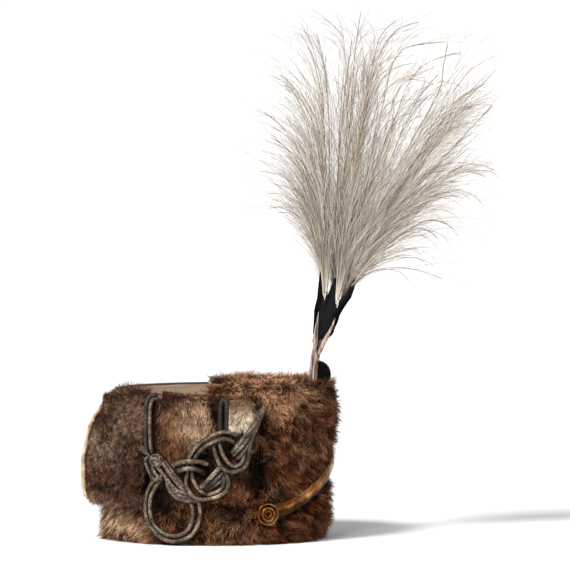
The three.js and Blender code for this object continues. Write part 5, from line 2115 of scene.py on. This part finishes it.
def hold_in(points):
    """Draws in what reaches past the plume's outline at its top and front."""
    points[..., 2] -= 0.45 * np.maximum(points[..., 2] - PLUME_TOP, 0)
    points[..., 0] -= 0.6 * np.maximum(points[..., 0] - PLUME_REACH, 0)
    return points


def add_shafts(node, lines, rng):
    """The shafts of a bunch, as ribbons whose points lie closer together towards their tips."""
    levels = 16
    shares = 1 - (1 - np.linspace(0, 1, levels)) ** 1.5
    even = np.array([[line[round(k)] for k in shares * (len(line) - 1)] for line in lines])
    sides = unit(np.cross(unit(np.gradient(even, axis=1)), RIGHTWARD))
    t = np.linspace(0, 1, levels)[None]
    widths = SHAFT_WIDE * (1 - 0.4 * t) * rng.uniform(0.6, 1.2, len(lines))[:, None]
    tint = rng.uniform(0.0, 0.35, len(lines))
    return add_ribbons(node + "_shafts", even, widths, sides, white_feather, {"tint": tint})


def mixed_tint(rng, total, share, dull, bright):
    """A tint for each barb: a share of them dull, and the others bright."""
    is_dull = rng.uniform(0, 1, total) < share
    return np.where(is_dull, rng.uniform(*dull, total), rng.uniform(*bright, total))


def grow_barbs(node, lines, full, rng):
    """Barbs leave the shafts almost along them, then curve outward and droop."""
    total, levels = BARBS[node], 10
    which = rng.choice(len(lines), total, p=full / full.sum())
    place_on = rng.uniform(0.02, 1, total) ** 1.15 * 0.95
    root = np.empty((total, 3))
    ahead = np.empty((total, 3))
    for i, line in enumerate(lines):
        mine = which == i
        root[mine] = read_line(line, place_on[mine])
        ahead[mine] = read_line(unit(np.gradient(line, axis=0)), place_on[mine])
    around = rng.normal(0, 1, (total, 3)) * (1, 0.6, 0.6) + (BUNCH_LEAN[node], 0, 0)
    around = unit(around - ahead * np.sum(around * ahead, axis=1, keepdims=True))
    length = (102 - 54 * place_on) * MM * rng.uniform(0.45, 1.25, total)
    open_from = np.radians(rng.uniform(3, 15, total))
    open_to = np.radians(rng.uniform(12, 84, total))
    t = np.linspace(0, 1, levels)
    angle = open_from[:, None] + (open_to - open_from)[:, None] * t**1.3
    way = np.cos(angle)[..., None] * ahead[:, None] + np.sin(angle)[..., None] * around[:, None]
    level = np.clip(1 - np.abs(ahead[:, 2]), 0, 1)[:, None] + 0.2
    way[..., 2] -= rng.uniform(0.05, 0.5, total)[:, None] * t**1.8 * level
    way = unit(way)
    step = length[:, None, None] * way / (levels - 1)
    run = np.concatenate((np.zeros((total, 1, 3)), np.cumsum(step[:, :-1], axis=1)), axis=1)
    barbs = hold_in(root[:, None] + run)
    sides = unit(np.cross(way, RIGHTWARD + rng.normal(0, 0.5, (total, 1, 3))))
    widths = BARB_WIDE * (1 - 0.35 * t[None]) * rng.uniform(0.5, 1.5, total)[:, None]
    tint = mixed_tint(rng, total, 0.33, (0, 0.25), (0.5, 1.0))
    return add_ribbons(node + "_barbs", barbs, widths, sides, white_feather, {"tint": tint})


for order, node in enumerate(SHAFTS):
    rng = np.random.default_rng(PLUME_SEED + order)
    lines, full = shaft_lines(node, rng, FULL_SHAFTS, 5 * MM, 0.75)
    lone, _ = shaft_lines(node, rng, LONE_SHAFTS, 9 * MM, 0.7)
    pieces = (add_shafts(node, lines + lone, rng), grow_barbs(node, lines, full, rng))
    fit_out(pieces, node)

# %% White wedges at the foot
# Each wedge: its place along the hat and height in millimetres, its lean and its spread in degrees.
WEDGES = np.array([(30.5, 238, 1.0, 6.0), (43, 230, 12.0, 8.0)])
WEDGE_SEED = 131
WEDGE_BARBS = 1500
WEDGE_WIDE = 0.36 * MM


def add_wedges():
    """White barbs that start low between the black points, on both faces of the plume."""
    rng = np.random.default_rng(WEDGE_SEED)
    total, levels = WEDGE_BARBS, 6
    x0, z0, lean, spread = WEDGES[rng.integers(0, len(WEDGES), total)].T
    face = rng.choice((-1.0, 1.0), total)
    t = np.linspace(0, 1, levels)[None]
    fan = rng.uniform(-1, 1, total)
    z0 = z0 * MM + np.abs(fan) * 7 * MM + rng.uniform(0, 5, total) * MM
    reach = rng.uniform(30, 62, total) * MM
    drift = np.sin(np.radians(lean + fan * spread)) * reach
    x = (x0 * MM + fan * 1.6 * MM)[:, None] + drift[:, None] * t
    z = z0[:, None] + reach[:, None] * t
    _, _, deep = base_rows(z0)
    y = CAP_Y + (face * (deep + rng.uniform(0.2, 1.6, total) * MM))[:, None] * (1 + 0.1 * t)
    lines = np.stack((x, y, z), axis=2)
    ways = np.array([1.0, 0, 0]) + rng.normal(0, 0.3, (total, 1, 3))
    aside = unit(ways + np.zeros((total, levels, 1)))
    widths = WEDGE_WIDE * (1 - 0.5 * t) * rng.uniform(0.5, 1.2, total)[:, None]
    tint = mixed_tint(rng, total, 0.35, (0.0, 0.3), (0.4, 0.9))
    return add_ribbons("plume_foot_barbs", lines, widths, aside, white_feather, {"tint": tint})


fit_out((add_wedges(),), "plume_centre")
